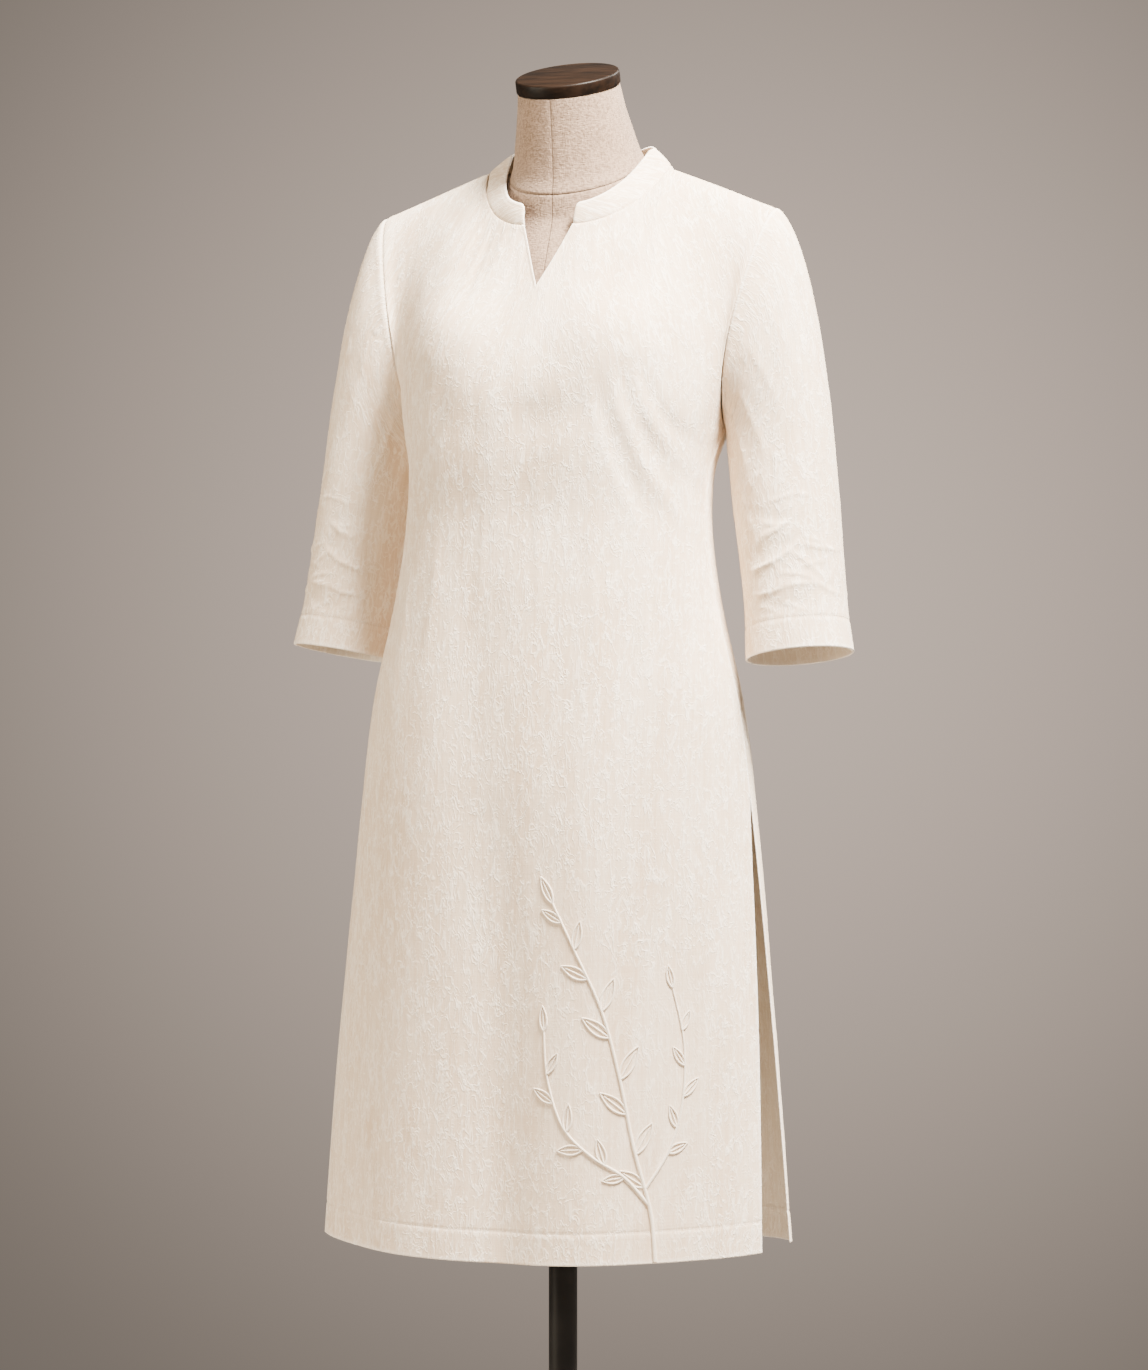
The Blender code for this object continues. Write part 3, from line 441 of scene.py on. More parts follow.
riseForm = {
    True: ((0.00, 0.00, 0.33, 0.94, 0.040), (0.14, 0.00, 0.33, 0.94, 0.045),
           (0.30, -0.04, 0.50, 0.86, 0.045), (0.48, -0.03, 0.96, 0.24, 0.045),
           (0.75, 0.00, 0.97, 0.22, 0.055), (1.00, 0.00, 0.97, 0.22, 0.060)),
    False: ((0.00, 0.00, -0.24, 0.97, 0.060), (0.12, 0.00, -0.40, 0.90, 0.052),
            (0.25, 0.00, -0.75, 0.52, 0.045), (0.42, 0.00, -0.97, 0.06, 0.042),
            (0.60, 0.00, -0.97, -0.12, 0.046), (1.00, 0.00, -0.97, -0.20, 0.050)),
}


def neckSeam(side, share):
    form = neckForm
    if share <= 0.5:
        point = bezier(form["front"], form["frontHandle"], form["sideHandle"], form["side"],
                       share * 2.0)
    else:
        point = bezier(form["side"], form["sideBackHandle"], form["backHandle"], form["back"],
                       share * 2.0 - 1.0)
    return Vector((side * point.x, point.y, point.z))


def bodyRing(front, angle, height):
    ring = readTable(bodyForm["columns"], bodyForm["rings"], height)
    panel = "front" if front else "back"
    x, reach = superellipse(ring[panel + "Width"], ring[panel + "Depth"], ring[panel + "Power"],
                            angle)
    return Vector((x, ring["sideY"] - reach if front else ring["sideY"] + reach, height))


def skirtPoint(front, share, fall):
    form = bodyForm
    lowest = form["frontHem"] if front else form["backHem"]
    hem = lowest + form["hemRise"] * share ** 2
    if fall <= form["slitLevel"]:
        height = hem + (form["slitTop"] - hem) * fall / form["slitLevel"]
    else:
        part = (fall - form["slitLevel"]) / (1.0 - form["slitLevel"])
        height = form["slitTop"] + (form["underarm"] - form["slitTop"]) * part
    drop = max(0.0, form["slitTop"] - height) / (form["slitTop"] - lowest)
    widest = math.radians(form["frontSlit"] if front else form["backSlit"])
    opening = widest * min(1.0, drop) ** form["slitPower"]
    return bodyRing(front, share * (math.pi / 2 - opening), height)


def topEdge(front, share):
    neckShare = bodyForm["neckShare"] if front else bodyForm["backNeckShare"]
    vShare = bodyForm["vShare"]
    if front and share <= vShare:
        return neckForm["centreTop"].lerp(neckForm["front"], share / vShare)
    if share <= neckShare:
        if front:
            return neckSeam(1, 0.5 * (share - vShare) / (neckShare - vShare))
        return neckSeam(1, 1.0 - 0.5 * share / neckShare)
    return neckForm["side"].lerp(neckForm["shoulder"], (share - neckShare) / (1.0 - neckShare))


def yokePoint(front, share, rise):
    underarm, step = bodyForm["underarm"], bodyForm["slopeStep"]
    start = bodyRing(front, share * math.pi / 2, underarm)
    end = topEdge(front, share)
    below = bodyRing(front, share * math.pi / 2, underarm - step)
    lead = start + (start - below) * (bodyForm["startReach"] * (end.z - start.z) / step)
    way = readTable(riseColumns, riseForm[front], share)
    direction = Vector((way["x"], way["y"], way["z"])).normalized()
    trail = end - direction * way["reach"]
    pull = smoothStep(bodyForm["armholePull"], 1.0, share)
    low, high = armholeForm[front]
    lead, trail = lead.lerp(low, pull), trail.lerp(high, pull)
    if front and share < bodyForm["vShare"]:  # the notch stops the threads short
        foot, top = neckForm["vHeight"], neckForm["front"].z
        wanted = foot + (top - foot) * share / bodyForm["vShare"]
        lowest, highest = 0.0, 1.0
        for _ in range(24):
            middle = (lowest + highest) / 2
            if bezier(start.z, lead.z, trail.z, end.z, middle) < wanted:
                lowest = middle
            else:
                highest = middle
        rise *= (lowest + highest) / 2
    return bezier(start, lead, trail, end, rise)


def panelPoint(front, across, level):
    side = 1.0 if across >= 0.0 else -1.0
    share = abs(across)
    if level <= 1.0:
        point = skirtPoint(front, share, level)
    else:
        point = yokePoint(front, share, level - 1.0)
    return Vector((side * point.x, point.y, point.z))


# form of the sleeves: rings square to the arm and a cap that leaves the armhole
sleeveForm = {
    "columns": ("z", "x", "y", "out", "fore"),
    "rings": ((1.1480, 0.2140, 0.0365, 0.0525, 0.0510), (1.0950, 0.2205, 0.0330, 0.0520, 0.0520),
              (1.0400, 0.2282, 0.0275, 0.0505, 0.0515), (0.9900, 0.2350, 0.0215, 0.0500, 0.0500),
              (0.9465, 0.2410, 0.0150, 0.0525, 0.0505)),
    "leave": (Vector((0.93, 0.0, -0.36)), Vector((0.62, -0.12, -0.76)),
              Vector((0.30, 0.02, -0.95)), Vector((0.62, 0.16, -0.75))),
    "leaveReach": (0.13, 0.34), "arriveReach": (0.41, 0.33), "slopeStep": 0.004,
}


def armholeTable(front, steps=120):
    low, high = armholeForm[front]
    start = bodyRing(True, math.pi / 2, bodyForm["underarm"])
    points = [bezier(start, low, high, neckForm["shoulder"], step / steps)
              for step in range(steps + 1)]
    reach = [0.0]
    for one, two in zip(points, points[1:]):
        reach.append(reach[-1] + (two - one).length)
    return points, reach


armholes = {front: armholeTable(front) for front in (True, False)}


def armholePoint(front, share):
    points, reach = armholes[front]
    wanted = reach[-1] * (1.0 - share)
    index = 0
    while index < len(reach) - 2 and reach[index + 1] < wanted:
        index += 1
    part = (wanted - reach[index]) / (reach[index + 1] - reach[index])
    return points[index].lerp(points[index + 1], part)


def armRing(angle, height):
    form = sleeveForm
    top, bottom = form["rings"][0][0], form["rings"][-1][0]
    ring = readTable(form["columns"], form["rings"], height)
    high, low = min(height + form["slopeStep"], top), max(height - form["slopeStep"], bottom)
    above = readTable(form["columns"], form["rings"], high)
    below = readTable(form["columns"], form["rings"], low)
    axis = Vector((below["x"] - above["x"], below["y"] - above["y"], low - high)).normalized()
    outward = (Vector((1.0, 0.0, 0.0)) - axis * axis.x).normalized()
    forward = outward.cross(axis).normalized()
    if forward.y > 0.0:
        forward.negate()
    bearing = math.radians(angle)
    return (Vector((ring["x"], ring["y"], height)) + outward * (ring["out"] * math.cos(bearing))
            + forward * (ring["fore"] * math.sin(bearing))), axis


# sleeve point: angle 0 outside, 90 front; down 0 armhole, 1 armpit ring, 2 cuff
def sleevePoint(angle, down):
    form = sleeveForm
    top, bottom = form["rings"][0][0], form["rings"][-1][0]
    if down > 1.0:
        return armRing(angle, top + (bottom - top) * (down - 1.0))[0]
    front = angle % 360.0 <= 180.0
    along = (angle % 360.0) / 180.0 if front else 2.0 - (angle % 360.0) / 180.0
    start = armholePoint(front, along)
    end, axis = armRing(angle, top)
    bearing = math.radians(angle)
    weights = (max(0.0, math.cos(bearing)) ** 2, max(0.0, math.sin(bearing)) ** 2,
               max(0.0, -math.cos(bearing)) ** 2, max(0.0, -math.sin(bearing)) ** 2)
    leave = Vector()
    for way, weight in zip(form["leave"], weights):
        leave += way * weight
    leave.normalize()
    if down < 0.0:
        return start + leave * down
    distance = (end - start).length
    leaveTop, leaveSide = form["leaveReach"]
    arriveTop, arriveSide = form["arriveReach"]
    leaveReach = leaveSide + (leaveTop - leaveSide) * weights[0]
    arriveReach = arriveSide + (arriveTop - arriveSide) * weights[0]
    return bezier(start, start + leave * (leaveReach * distance),
                  end - axis * (arriveReach * distance), end, down)


# a fold is its two ends, its width and depth, a bow to one side and a sharpness of its crest;
# the last two may be left out
def fullFolds(folds):
    return tuple(fold + (0.0,) * (8 - len(fold)) for fold in folds)


# height of one soft fold or crease at a place on the cloth
def foldHeight(fold, across, along, scale=1.0):
    startA, startB, endA, endB, width, depth, bow, sharp = fold
    runA, runB = (endA - startA) * scale, endB - startB
    offA, offB = (across - startA) * scale, along - startB
    length = math.hypot(runA, runB)
    if math.hypot(offA - runA / 2, offB - runB / 2) > length * 0.8 + width * 3.0:
        return 0.0
    share = (offA * runA + offB * runB) / (length * length)
    sideways = (offA * runB - offB * runA) / length - bow * 4.0 * share * (1.0 - share)
    taper = smoothStep(-0.20, 0.30, share) * (1.0 - smoothStep(0.62, 1.20, share))
    off = abs(sideways) / width
    return depth * taper * ((1.0 - sharp) * math.exp(-off * off) + sharp * math.exp(-1.6 * off))


# a grid of cloth with threads along its rows and columns, its UV map in metres
def layCloth(columnPlaces, rowPlaces, place, middle):
    columns, rows = len(columnPlaces) - 1, len(rowPlaces) - 1
    work = bmesh.new()
    bmesh.ops.create_grid(work, x_segments=columns, y_segments=rows, size=0.5)
    grid = [[None] * (rows + 1) for _ in range(columns + 1)]
    for vertex in work.verts:
        column, row = round((vertex.co.x + 0.5) * columns), round((vertex.co.y + 0.5) * rows)
        grid[column][row] = vertex
    for column, threads in enumerate(grid):
        for row, vertex in enumerate(threads):
            vertex.co = place(columnPlaces[column], rowPlaces[row])
    work.normal_update()
    across = [[0.0] * (rows + 1) for _ in range(columns + 1)]
    up = [[0.0] * (rows + 1) for _ in range(columns + 1)]
    for column in range(columns + 1):
        for row in range(1, rows + 1):
            step = grid[column][row].co - grid[column][row - 1].co
            up[column][row] = up[column][row - 1] + step.length
    for row in range(rows + 1):
        for column in range(1, columns + 1):
            step = grid[column][row].co - grid[column - 1][row].co
            across[column][row] = across[column - 1][row] + step.length
        centre = across[middle][row]
        for column in range(columns + 1):
            across[column][row] -= centre
    uvLayer = work.loops.layers.uv.new("cloth")
    spot = {vertex: (across[column][row], up[column][row])
            for column, threads in enumerate(grid) for row, vertex in enumerate(threads)}
    for face in work.faces:
        for loop in face.loops:
            loop[uvLayer].uv = spot[loop.vert]
    return work, grid, across, up


# a laid cloth made a piece: marks and weights give a number for each vertex of the cloth
def finishCloth(work, name, material, thin, doubled, marks, weights=None):
    mesh = bpy.data.meshes.new(name)
    work.verts.index_update()
    work.to_mesh(mesh)
    for mark, values in marks.items():
        mesh.attributes.new(mark, "FLOAT", "POINT").data.foreach_set(
            "value", [values.get(vertex, 0.0) for vertex in work.verts])
    mesh.materials.append(material)
    # the inner wall of every cloth takes the paler inside linen, its painted light
    mesh.materials.append(ivoryInsidePaintedPale)
    mesh.shade_smooth()
    piece = placePiece(name, mesh)
    wall = piece.modifiers.new("cloth", "SOLIDIFY")
    wall.thickness = doubled
    wall.offset = -1.0
    wall.use_quality_normals = True
    wall.material_offset = 1
    if weights:
        group = piece.vertex_groups.new(name="doubled")
        for vertex in work.verts:
            group.add([vertex.index], weights.get(vertex, 0.0), "REPLACE")
        wall.vertex_group = "doubled"
        wall.thickness_vertex_group = thin / doubled
    return piece


# the places of a cloth's threads, row by row, for the sewing that follows
def clothRows(grid):
    return [[threads[row].co.copy() for threads in grid] for row in range(len(grid[0]))]


# prints the cut of a cloth as it shows
def tellCut(name, work, across, up):
    area = sum(face.calc_area() for face in work.faces)
    widest = max(right - left for left, right in zip(across[0], across[-1]))
    longest = max(line[-1] for line in up)
    print(name, "cloth", round(area, 4), "m2, widest", round(widest, 3), "longest",
          round(longest, 3))


# how strong the painted highlight of an edge, and the painted shade of a stitch line, is at a
# distance from it
def paintedEdgeLight(off):
    return bell(off, linenSet["paintedEdgeWide"])


# slight unevenness all over a cloth: how fine it is across and up, and how high
crumpleSet = {"tall": (42.0, 17.0, 0.00036), "small": (95.0, 50.0, 0.00011)}


def crumple(point, seed, fine=1.0):
    tallAcross, tallUp, tallHigh = crumpleSet["tall"]
    smallAcross, smallUp, smallHigh = crumpleSet["small"]
    tall = Vector((point.x * tallAcross, point.y * tallAcross, point.z * tallUp + seed))
    small = Vector((point.x * smallAcross, point.y * smallAcross, point.z * smallUp + seed))
    return tallHigh * noise.noise(tall) + smallHigh * fine * noise.noise(small)


# a plain leafy sprig in raised cord at the wearer's left of the front hem
sprigSet = {"stem": 0.0017, "leafCord": 0.0011, "lift": 0.0004, "stemSteps": 60, "leafSteps": 12,
            "calmNear": 0.012, "calmFar": 0.034}
# stems: x and z of their points, then the cord's scale at foot and tip
sprigStems = (
    (((0.146, 0.372), (0.141, 0.420), (0.126, 0.480), (0.113, 0.545), (0.096, 0.610),
      (0.070, 0.668), (0.048, 0.712)), 1.25, 0.55),
    (((0.140, 0.425), (0.118, 0.452), (0.088, 0.472), (0.060, 0.500), (0.044, 0.545),
      (0.040, 0.590)), 1.0, 0.5),
    (((0.136, 0.440), (0.156, 0.478), (0.166, 0.525), (0.166, 0.580), (0.156, 0.632)), 0.95, 0.45),
)
# leaves along each stem: share of the stem, side, length, width, angle off the stem
sprigLeaves = (
    ((0.24, 1, 0.030, 0.0105, 42), (0.33, -1, 0.034, 0.0110, 44), (0.42, 1, 0.034, 0.0110, 42),
     (0.51, -1, 0.036, 0.0115, 44), (0.60, 1, 0.034, 0.0110, 40), (0.68, -1, 0.033, 0.0105, 42),
     (0.76, 1, 0.030, 0.0100, 40), (0.84, -1, 0.028, 0.0090, 38), (0.92, 1, 0.024, 0.0080, 34),
     (1.00, 0, 0.028, 0.0085, 0)),
    ((0.20, 1, 0.022, 0.0080, 46), (0.32, -1, 0.026, 0.0090, 44), (0.45, 1, 0.027, 0.0090, 42),
     (0.58, -1, 0.027, 0.0090, 42), (0.70, 1, 0.025, 0.0085, 40), (0.82, -1, 0.023, 0.0080, 38),
     (1.00, 0, 0.024, 0.0075, 0)),
    ((0.24, -1, 0.022, 0.0080, 40), (0.38, 1, 0.023, 0.0080, 38), (0.52, -1, 0.024, 0.0080, 38),
     (0.66, 1, 0.022, 0.0075, 36), (0.80, -1, 0.020, 0.0070, 36), (1.00, 0, 0.022, 0.0070, 0)),
)


def smoothPath(points, steps):
    path = []
    for step in range(steps + 1):
        place = step / steps * (len(points) - 1)
        index = min(int(place), len(points) - 2)
        share = place - index
        before, start = points[max(index - 1, 0)], points[index]
        end, after = points[index + 1], points[min(index + 2, len(points) - 1)]
        path.append(tuple(
            0.5 * (2 * start[n] + (end[n] - before[n]) * share
                   + (2 * before[n] - 5 * start[n] + 4 * end[n] - after[n]) * share ** 2
                   + (3 * start[n] - before[n] - 3 * end[n] + after[n]) * share ** 3)
            for n in (0, 1)))
    return path


sprigPaths = [smoothPath(points, sprigSet["stemSteps"]) for points, _, _ in sprigStems]
sprigTree = kdtree.KDTree(sum(len(path) for path in sprigPaths))
for index, (x, z) in enumerate(spot for path in sprigPaths for spot in path):
    sprigTree.insert((x, 0.0, z), index)
sprigTree.balance()


def sprigCalm(point):
    far = sprigTree.find((point.x, 0.0, point.z))[2]
    return 1.0 - smoothStep(sprigSet["calmNear"], sprigSet["calmFar"], far)


# heights of the rows of threads in a turned hem or cuff, closer where its stitches lie
hemRows = (0.0, 0.0012, 0.0050, 0.0110, 0.0180, 0.0240, 0.0275, 0.0292, 0.0305, 0.0318, 0.0340)

# front and back panels
panelSet = {
    "halfColumns": {True: 112, False: 96}, "rowStep": {True: 0.0052, False: 0.0058},
    "yokeRows": {True: 56, False: 50}, "yokeCrowd": 1.15,
    "hemDeep": 0.0300, "slitEdge": 0.0140, "thin": 0.0009, "doubled": 0.0015,
    "turnLift": 0.0003, "hemBlend": 0.0008, "slitBlend": 0.0010,
    "bust": (0.0140, 0.080, 1.260, 0.042),  # fullness, x, z and spread
    "seamDip": 0.0007, "seamReach": 0.0016, "sideReach": 0.0032,
    "sideShare": {True: 0.2, False: 2.4}, "neckShare": 0.7,  # of the dip, at side and neck
    # depth and width of each stitched hollow and rolled edge
    "hemStitch": (0.0006, 0.0012), "slitStitch": (0.00035, 0.0016), "slitRoll": (0.0006, 0.0020),
    # height, distance from the edge and width of the swell beside each seam
    "sideSwell": (0.0020, 0.0030, 0.0026), "armSwell": (0.0003, 0.006, 0.004),
    # the notch's turn and roll, then the strength of the painted shade along a stitch line
    "notchTurn": (0.006, 0.008), "notchRoll": (0.0004, 0.002, 0.007), "stitchShade": 0.35,
    "calmEdge": 0.012, "easeWide": 0.22, "easeTaper": 12.0, "easeRows": {True: 42, False: 44},
    "easePasses": 90, "foldFade": 0.90, "crinkles": {True: 560, False: 420}, "lean": 0.28,
    "seed": {True: 11, False: 23},
}
# broad folds of the panels: x and z of both ends, width, depth and bow
panelFolds = {
    True: fullFolds((
        (0.096, 1.222, 0.145, 1.106, 0.0090, -0.0036, 0.003),
        (0.113, 1.226, 0.152, 1.148, 0.0076, -0.0028, 0.002),
        (0.078, 1.210, 0.128, 1.070, 0.0105, -0.0032, 0.004),
        (-0.104, 1.215, -0.148, 1.110, 0.0120, -0.0030),
        (-0.086, 1.195, -0.128, 1.095, 0.0110, -0.0020),
        (0.010, 1.205, 0.000, 1.040, 0.0330, -0.0034),
        (-0.016, 1.174, 0.084, 1.184, 0.0240, -0.0042),
        (-0.100, 1.178, -0.024, 1.174, 0.0260, -0.0026),
        (-0.050, 1.105, -0.032, 0.640, 0.0340, -0.0046),
        (0.088, 1.085, 0.074, 0.640, 0.0300, 0.0034),
        (0.062, 1.362, 0.078, 1.300, 0.0070, -0.0010),
        (-0.060, 1.362, -0.074, 1.290, 0.0070, -0.0010),
    )),
    False: fullFolds((
        (0.088, 1.215, 0.140, 1.120, 0.0130, -0.0028),
        (-0.086, 1.220, -0.142, 1.115, 0.0130, -0.0026),
        (0.052, 1.110, 0.120, 1.075, 0.0120, -0.0022),
        (-0.056, 1.115, -0.124, 1.070, 0.0120, -0.0024),
        (0.020, 1.100, -0.040, 1.085, 0.0110, -0.0018),
    )),
}
# fine creases of the panels, with a sharpness at the end
panelCreases = {
    True: (
        # drags from the fullest part of the bust down to the side seam, wearer's left
        (0.106, 1.224, 0.150, 1.120, 0.0042, 0.0010, 0.004, 0.4),
        (0.090, 1.214, 0.138, 1.088, 0.0044, 0.0010, 0.005, 0.4),
        (0.120, 1.222, 0.154, 1.158, 0.0036, 0.0008, 0.002, 0.4),
        (0.072, 1.196, 0.116, 1.070, 0.0044, 0.0009, 0.006, 0.4),
        (0.122, 1.150, 0.150, 1.094, 0.0034, 0.0009, -0.002, 0.6),
        (0.128, 1.122, 0.152, 1.064, 0.0036, 0.0008, 0.002, 0.6),
        (0.120, 1.262, 0.158, 1.232, 0.0050, -0.0010, 0.002, 0.4),
        # the same on the wearer's right
        (-0.095, 1.206, -0.140, 1.092, 0.0044, 0.0010, -0.004, 0.4),
        (-0.112, 1.200, -0.152, 1.108, 0.0040, 0.0009, -0.003, 0.4),
        (-0.078, 1.182, -0.115, 1.090, 0.0040, 0.0009, -0.004, 0.5),
        (-0.126, 1.122, -0.150, 1.070, 0.0036, 0.0008, -0.002, 0.6),
        # easing under the collar and beside the notch
        (-0.044, 1.366, -0.052, 1.306, 0.0022, 0.0011, 0.002, 0.7),
        (-0.053, 1.370, -0.066, 1.300, 0.0024, 0.0012, 0.003, 0.7),
        (-0.062, 1.374, -0.080, 1.308, 0.0024, 0.0011, 0.002, 0.7),
        (-0.035, 1.364, -0.036, 1.316, 0.0020, 0.0008, 0.001, 0.7),
        (-0.073, 1.382, -0.094, 1.326, 0.0026, 0.0010, 0.002, 0.6),
        (-0.026, 1.350, -0.018, 1.300, 0.0026, 0.0007, 0.001, 0.5),
        (0.046, 1.366, 0.052, 1.310, 0.0032, 0.0009, -0.002, 0.5),
        (0.060, 1.372, 0.072, 1.312, 0.0034, 0.0010, -0.003, 0.5),
        (0.036, 1.362, 0.036, 1.316, 0.0030, 0.0007, -0.001, 0.5),
        (0.078, 1.384, 0.094, 1.330, 0.0036, 0.0007, -0.002, 0.5),
        # long soft slack lines over the waist and skirt
        (0.020, 1.120, 0.030, 0.980, 0.0060, 0.0007, 0.004, 0.2),
        (-0.040, 1.100, -0.046, 0.960, 0.0060, 0.0007, -0.004, 0.2),
        (0.075, 1.060, 0.090, 0.930, 0.0060, 0.0007, 0.004, 0.2),
        (-0.092, 1.060, -0.104, 0.920, 0.0060, 0.0008, -0.004, 0.2),
        (0.120, 1.020, 0.138, 0.900, 0.0050, 0.0008, 0.003, 0.3),
        (-0.128, 1.020, -0.142, 0.900, 0.0050, 0.0008, -0.003, 0.3),
    ),
    False: (
        (0.092, 1.205, 0.142, 1.115, 0.0040, 0.0013, 0.004, 0.6),
        (0.076, 1.180, 0.126, 1.100, 0.0040, 0.0011, 0.004, 0.5),
        (0.104, 1.160, 0.146, 1.100, 0.0036, 0.0010, 0.002, 0.6),
        (0.060, 1.120, 0.118, 1.080, 0.0044, 0.0010, 0.004, 0.5),
        (-0.090, 1.208, -0.142, 1.112, 0.0040, 0.0013, -0.004, 0.6),
        (-0.074, 1.184, -0.124, 1.104, 0.0040, 0.0010, -0.004, 0.5),
        (-0.106, 1.156, -0.146, 1.096, 0.0036, 0.0010, -0.002, 0.6),
        (-0.062, 1.124, -0.120, 1.078, 0.0044, 0.0011, -0.004, 0.5),
        (0.028, 1.104, -0.040, 1.088, 0.0046, 0.0009, 0.003, 0.4),
        (0.044, 1.086, -0.020, 1.070, 0.0044, 0.0008, 0.002, 0.4),
        (0.030, 1.396, 0.036, 1.330, 0.0050, 0.0005, 0.002, 0.2),
        (-0.032, 1.396, -0.040, 1.328, 0.0050, 0.0005, -0.002, 0.2),
        (0.056, 1.398, 0.070, 1.340, 0.0050, 0.0004, 0.002, 0.2),
        (-0.058, 1.398, -0.074, 1.338, 0.0050, 0.0004, -0.002, 0.2),
        (0.000, 1.392, 0.002, 1.330, 0.0038, 0.0007, 0.001, 0.4),
        (0.110, 1.330, 0.150, 1.250, 0.0060, 0.0010, 0.004, 0.3),
        (-0.110, 1.330, -0.150, 1.250, 0.0060, 0.0010, -0.004, 0.3),
        (0.060, 1.040, 0.072, 0.910, 0.0060, 0.0008, 0.004, 0.2),
        (-0.066, 1.040, -0.080, 0.900, 0.0060, 0.0008, -0.004, 0.2),
        (0.006, 1.030, 0.000, 0.880, 0.0060, 0.0008, 0.004, 0.2),
    ),
}
# long soft flutes of the skirt: angle, spread, top and depth
panelFlutes = {
    True: ((-60.0, 11.0, 0.98, -0.0030), (-40.0, 12.0, 1.02, 0.0040), (-3.0, 14.0, 1.05, -0.0130),
           (30.0, 13.0, 1.00, 0.0045), (58.0, 10.0, 0.95, -0.0025)),
    False: ((-56.0, 11.0, 0.98, -0.0040), (-28.0, 12.0, 0.94, 0.0050), (2.0, 13.0, 1.00, -0.0055),
            (30.0, 12.0, 0.94, 0.0050), (57.0, 11.0, 0.96, -0.0040)),
}


def panelPush(front, point, share):
    fade = 1.0 - smoothStep(panelSet["foldFade"], 1.0, share)
    push = sum(foldHeight(fold, point.x, point.z) for fold in panelFolds[front])
    if front:
        fullness, bustX, bustZ, spread = panelSet["bust"]
        off = math.hypot(abs(point.x) - bustX, point.z - bustZ)
        push += fullness * bell(off, spread)
    push += sum(foldHeight(fold, point.x, point.z) for fold in panelCreases[front])
    push *= fade
    bearing = math.degrees(math.atan2(point.x, -point.y if front else point.y))
    for angle, spread, top, depth in panelFlutes[front]:
        swell = smoothStep(top, bodyForm["frontHem"], point.z)
        push += depth * swell * bell(bearing - angle, spread)
    return push


# short curved ridges strewn over a cloth by a seeded draw, leaning a little off its length
crinkleSet = {"reach": 0.024, "lengths": (0.4, 1.3), "widths": (0.0020, 0.0032), "deep": 0.00024,
              "depths": (0.5, 1.2), "ways": (-0.7, 1.0, 1.0), "bow": 0.25, "sharp": 0.4}


def strewCrinkles(grid, across, up, count, seed, lean):
    dice = random.Random(seed)
    flat = [(grid[c][r], across[c][r], up[c][r]) for c in range(len(grid))
            for r in range(len(grid[0]))]
    tree = kdtree.KDTree(len(flat))
    for index, (_, u, v) in enumerate(flat):
        tree.insert((u, v, 0.0), index)
    tree.balance()
    lift = {}
    for _ in range(count):
        _, u, v = flat[dice.randrange(len(flat))]
        length = crinkleSet["reach"] * dice.uniform(*crinkleSet["lengths"])
        tilt = dice.gauss(0.0, lean)
        half = Vector((math.sin(tilt), math.cos(tilt), 0.0)) * (length / 2)
        width = dice.uniform(*crinkleSet["widths"])
        depth = crinkleSet["deep"] * dice.choice(crinkleSet["ways"])
        depth *= dice.uniform(*crinkleSet["depths"])
        bow = dice.uniform(-crinkleSet["bow"], crinkleSet["bow"]) * length
        fold = (u - half.x, v - half.y, u + half.x, v + half.y, width, depth, bow,
                crinkleSet["sharp"])
        for _, index, _ in tree.find_range((u, v, 0.0), length * 0.8 + width * 2.0):
            vertex, overU, overV = flat[index]
            lift[vertex] = lift.get(vertex, 0.0) + foldHeight(fold, overU, overV)
    return lift


# rows of threads of a panel: hem, skirt, waist and yoke, as levels up the cloth
def panelLevels(front):
    lowest = bodyForm["frontHem"] if front else bodyForm["backHem"]
    slitLevel, slitTall = bodyForm["slitLevel"], bodyForm["slitTop"] - lowest
    scale = slitLevel / slitTall
    levels = [height * scale for height in hemRows]
    for start, end, metres in ((levels[-1], slitLevel, slitTall - hemRows[-1]),
                               (slitLevel, 1.0, bodyForm["underarm"] - bodyForm["slitTop"])):
        steps = round(metres / panelSet["rowStep"][front])
        levels += [start + (end - start) * step / steps for step in range(1, steps + 1)]
    yokeRows, crowd = panelSet["yokeRows"][front], panelSet["yokeCrowd"]
    return levels + [2.0 - (1.0 - row / yokeRows) ** crowd for row in range(1, yokeRows + 1)]


# eases the cloth below the corner where the neck seam meets the shoulder seam
def easeCorner(front, work, grid, shares, neckShare):
    top = len(grid[0]) - 1
    eased = [threads[row] for share, threads in zip(shares, grid)
             for row in range(top - panelSet["easeRows"][front], top)
             if abs(abs(share) - neckShare)
             < panelSet["easeWide"] * smoothStep(0.0, panelSet["easeTaper"], top - row)]
    for _ in range(panelSet["easePasses"]):
        bmesh.ops.smooth_vert(work, verts=eased, factor=0.5, use_axis_x=True, use_axis_y=True,
                              use_axis_z=True)
    work.normal_update()


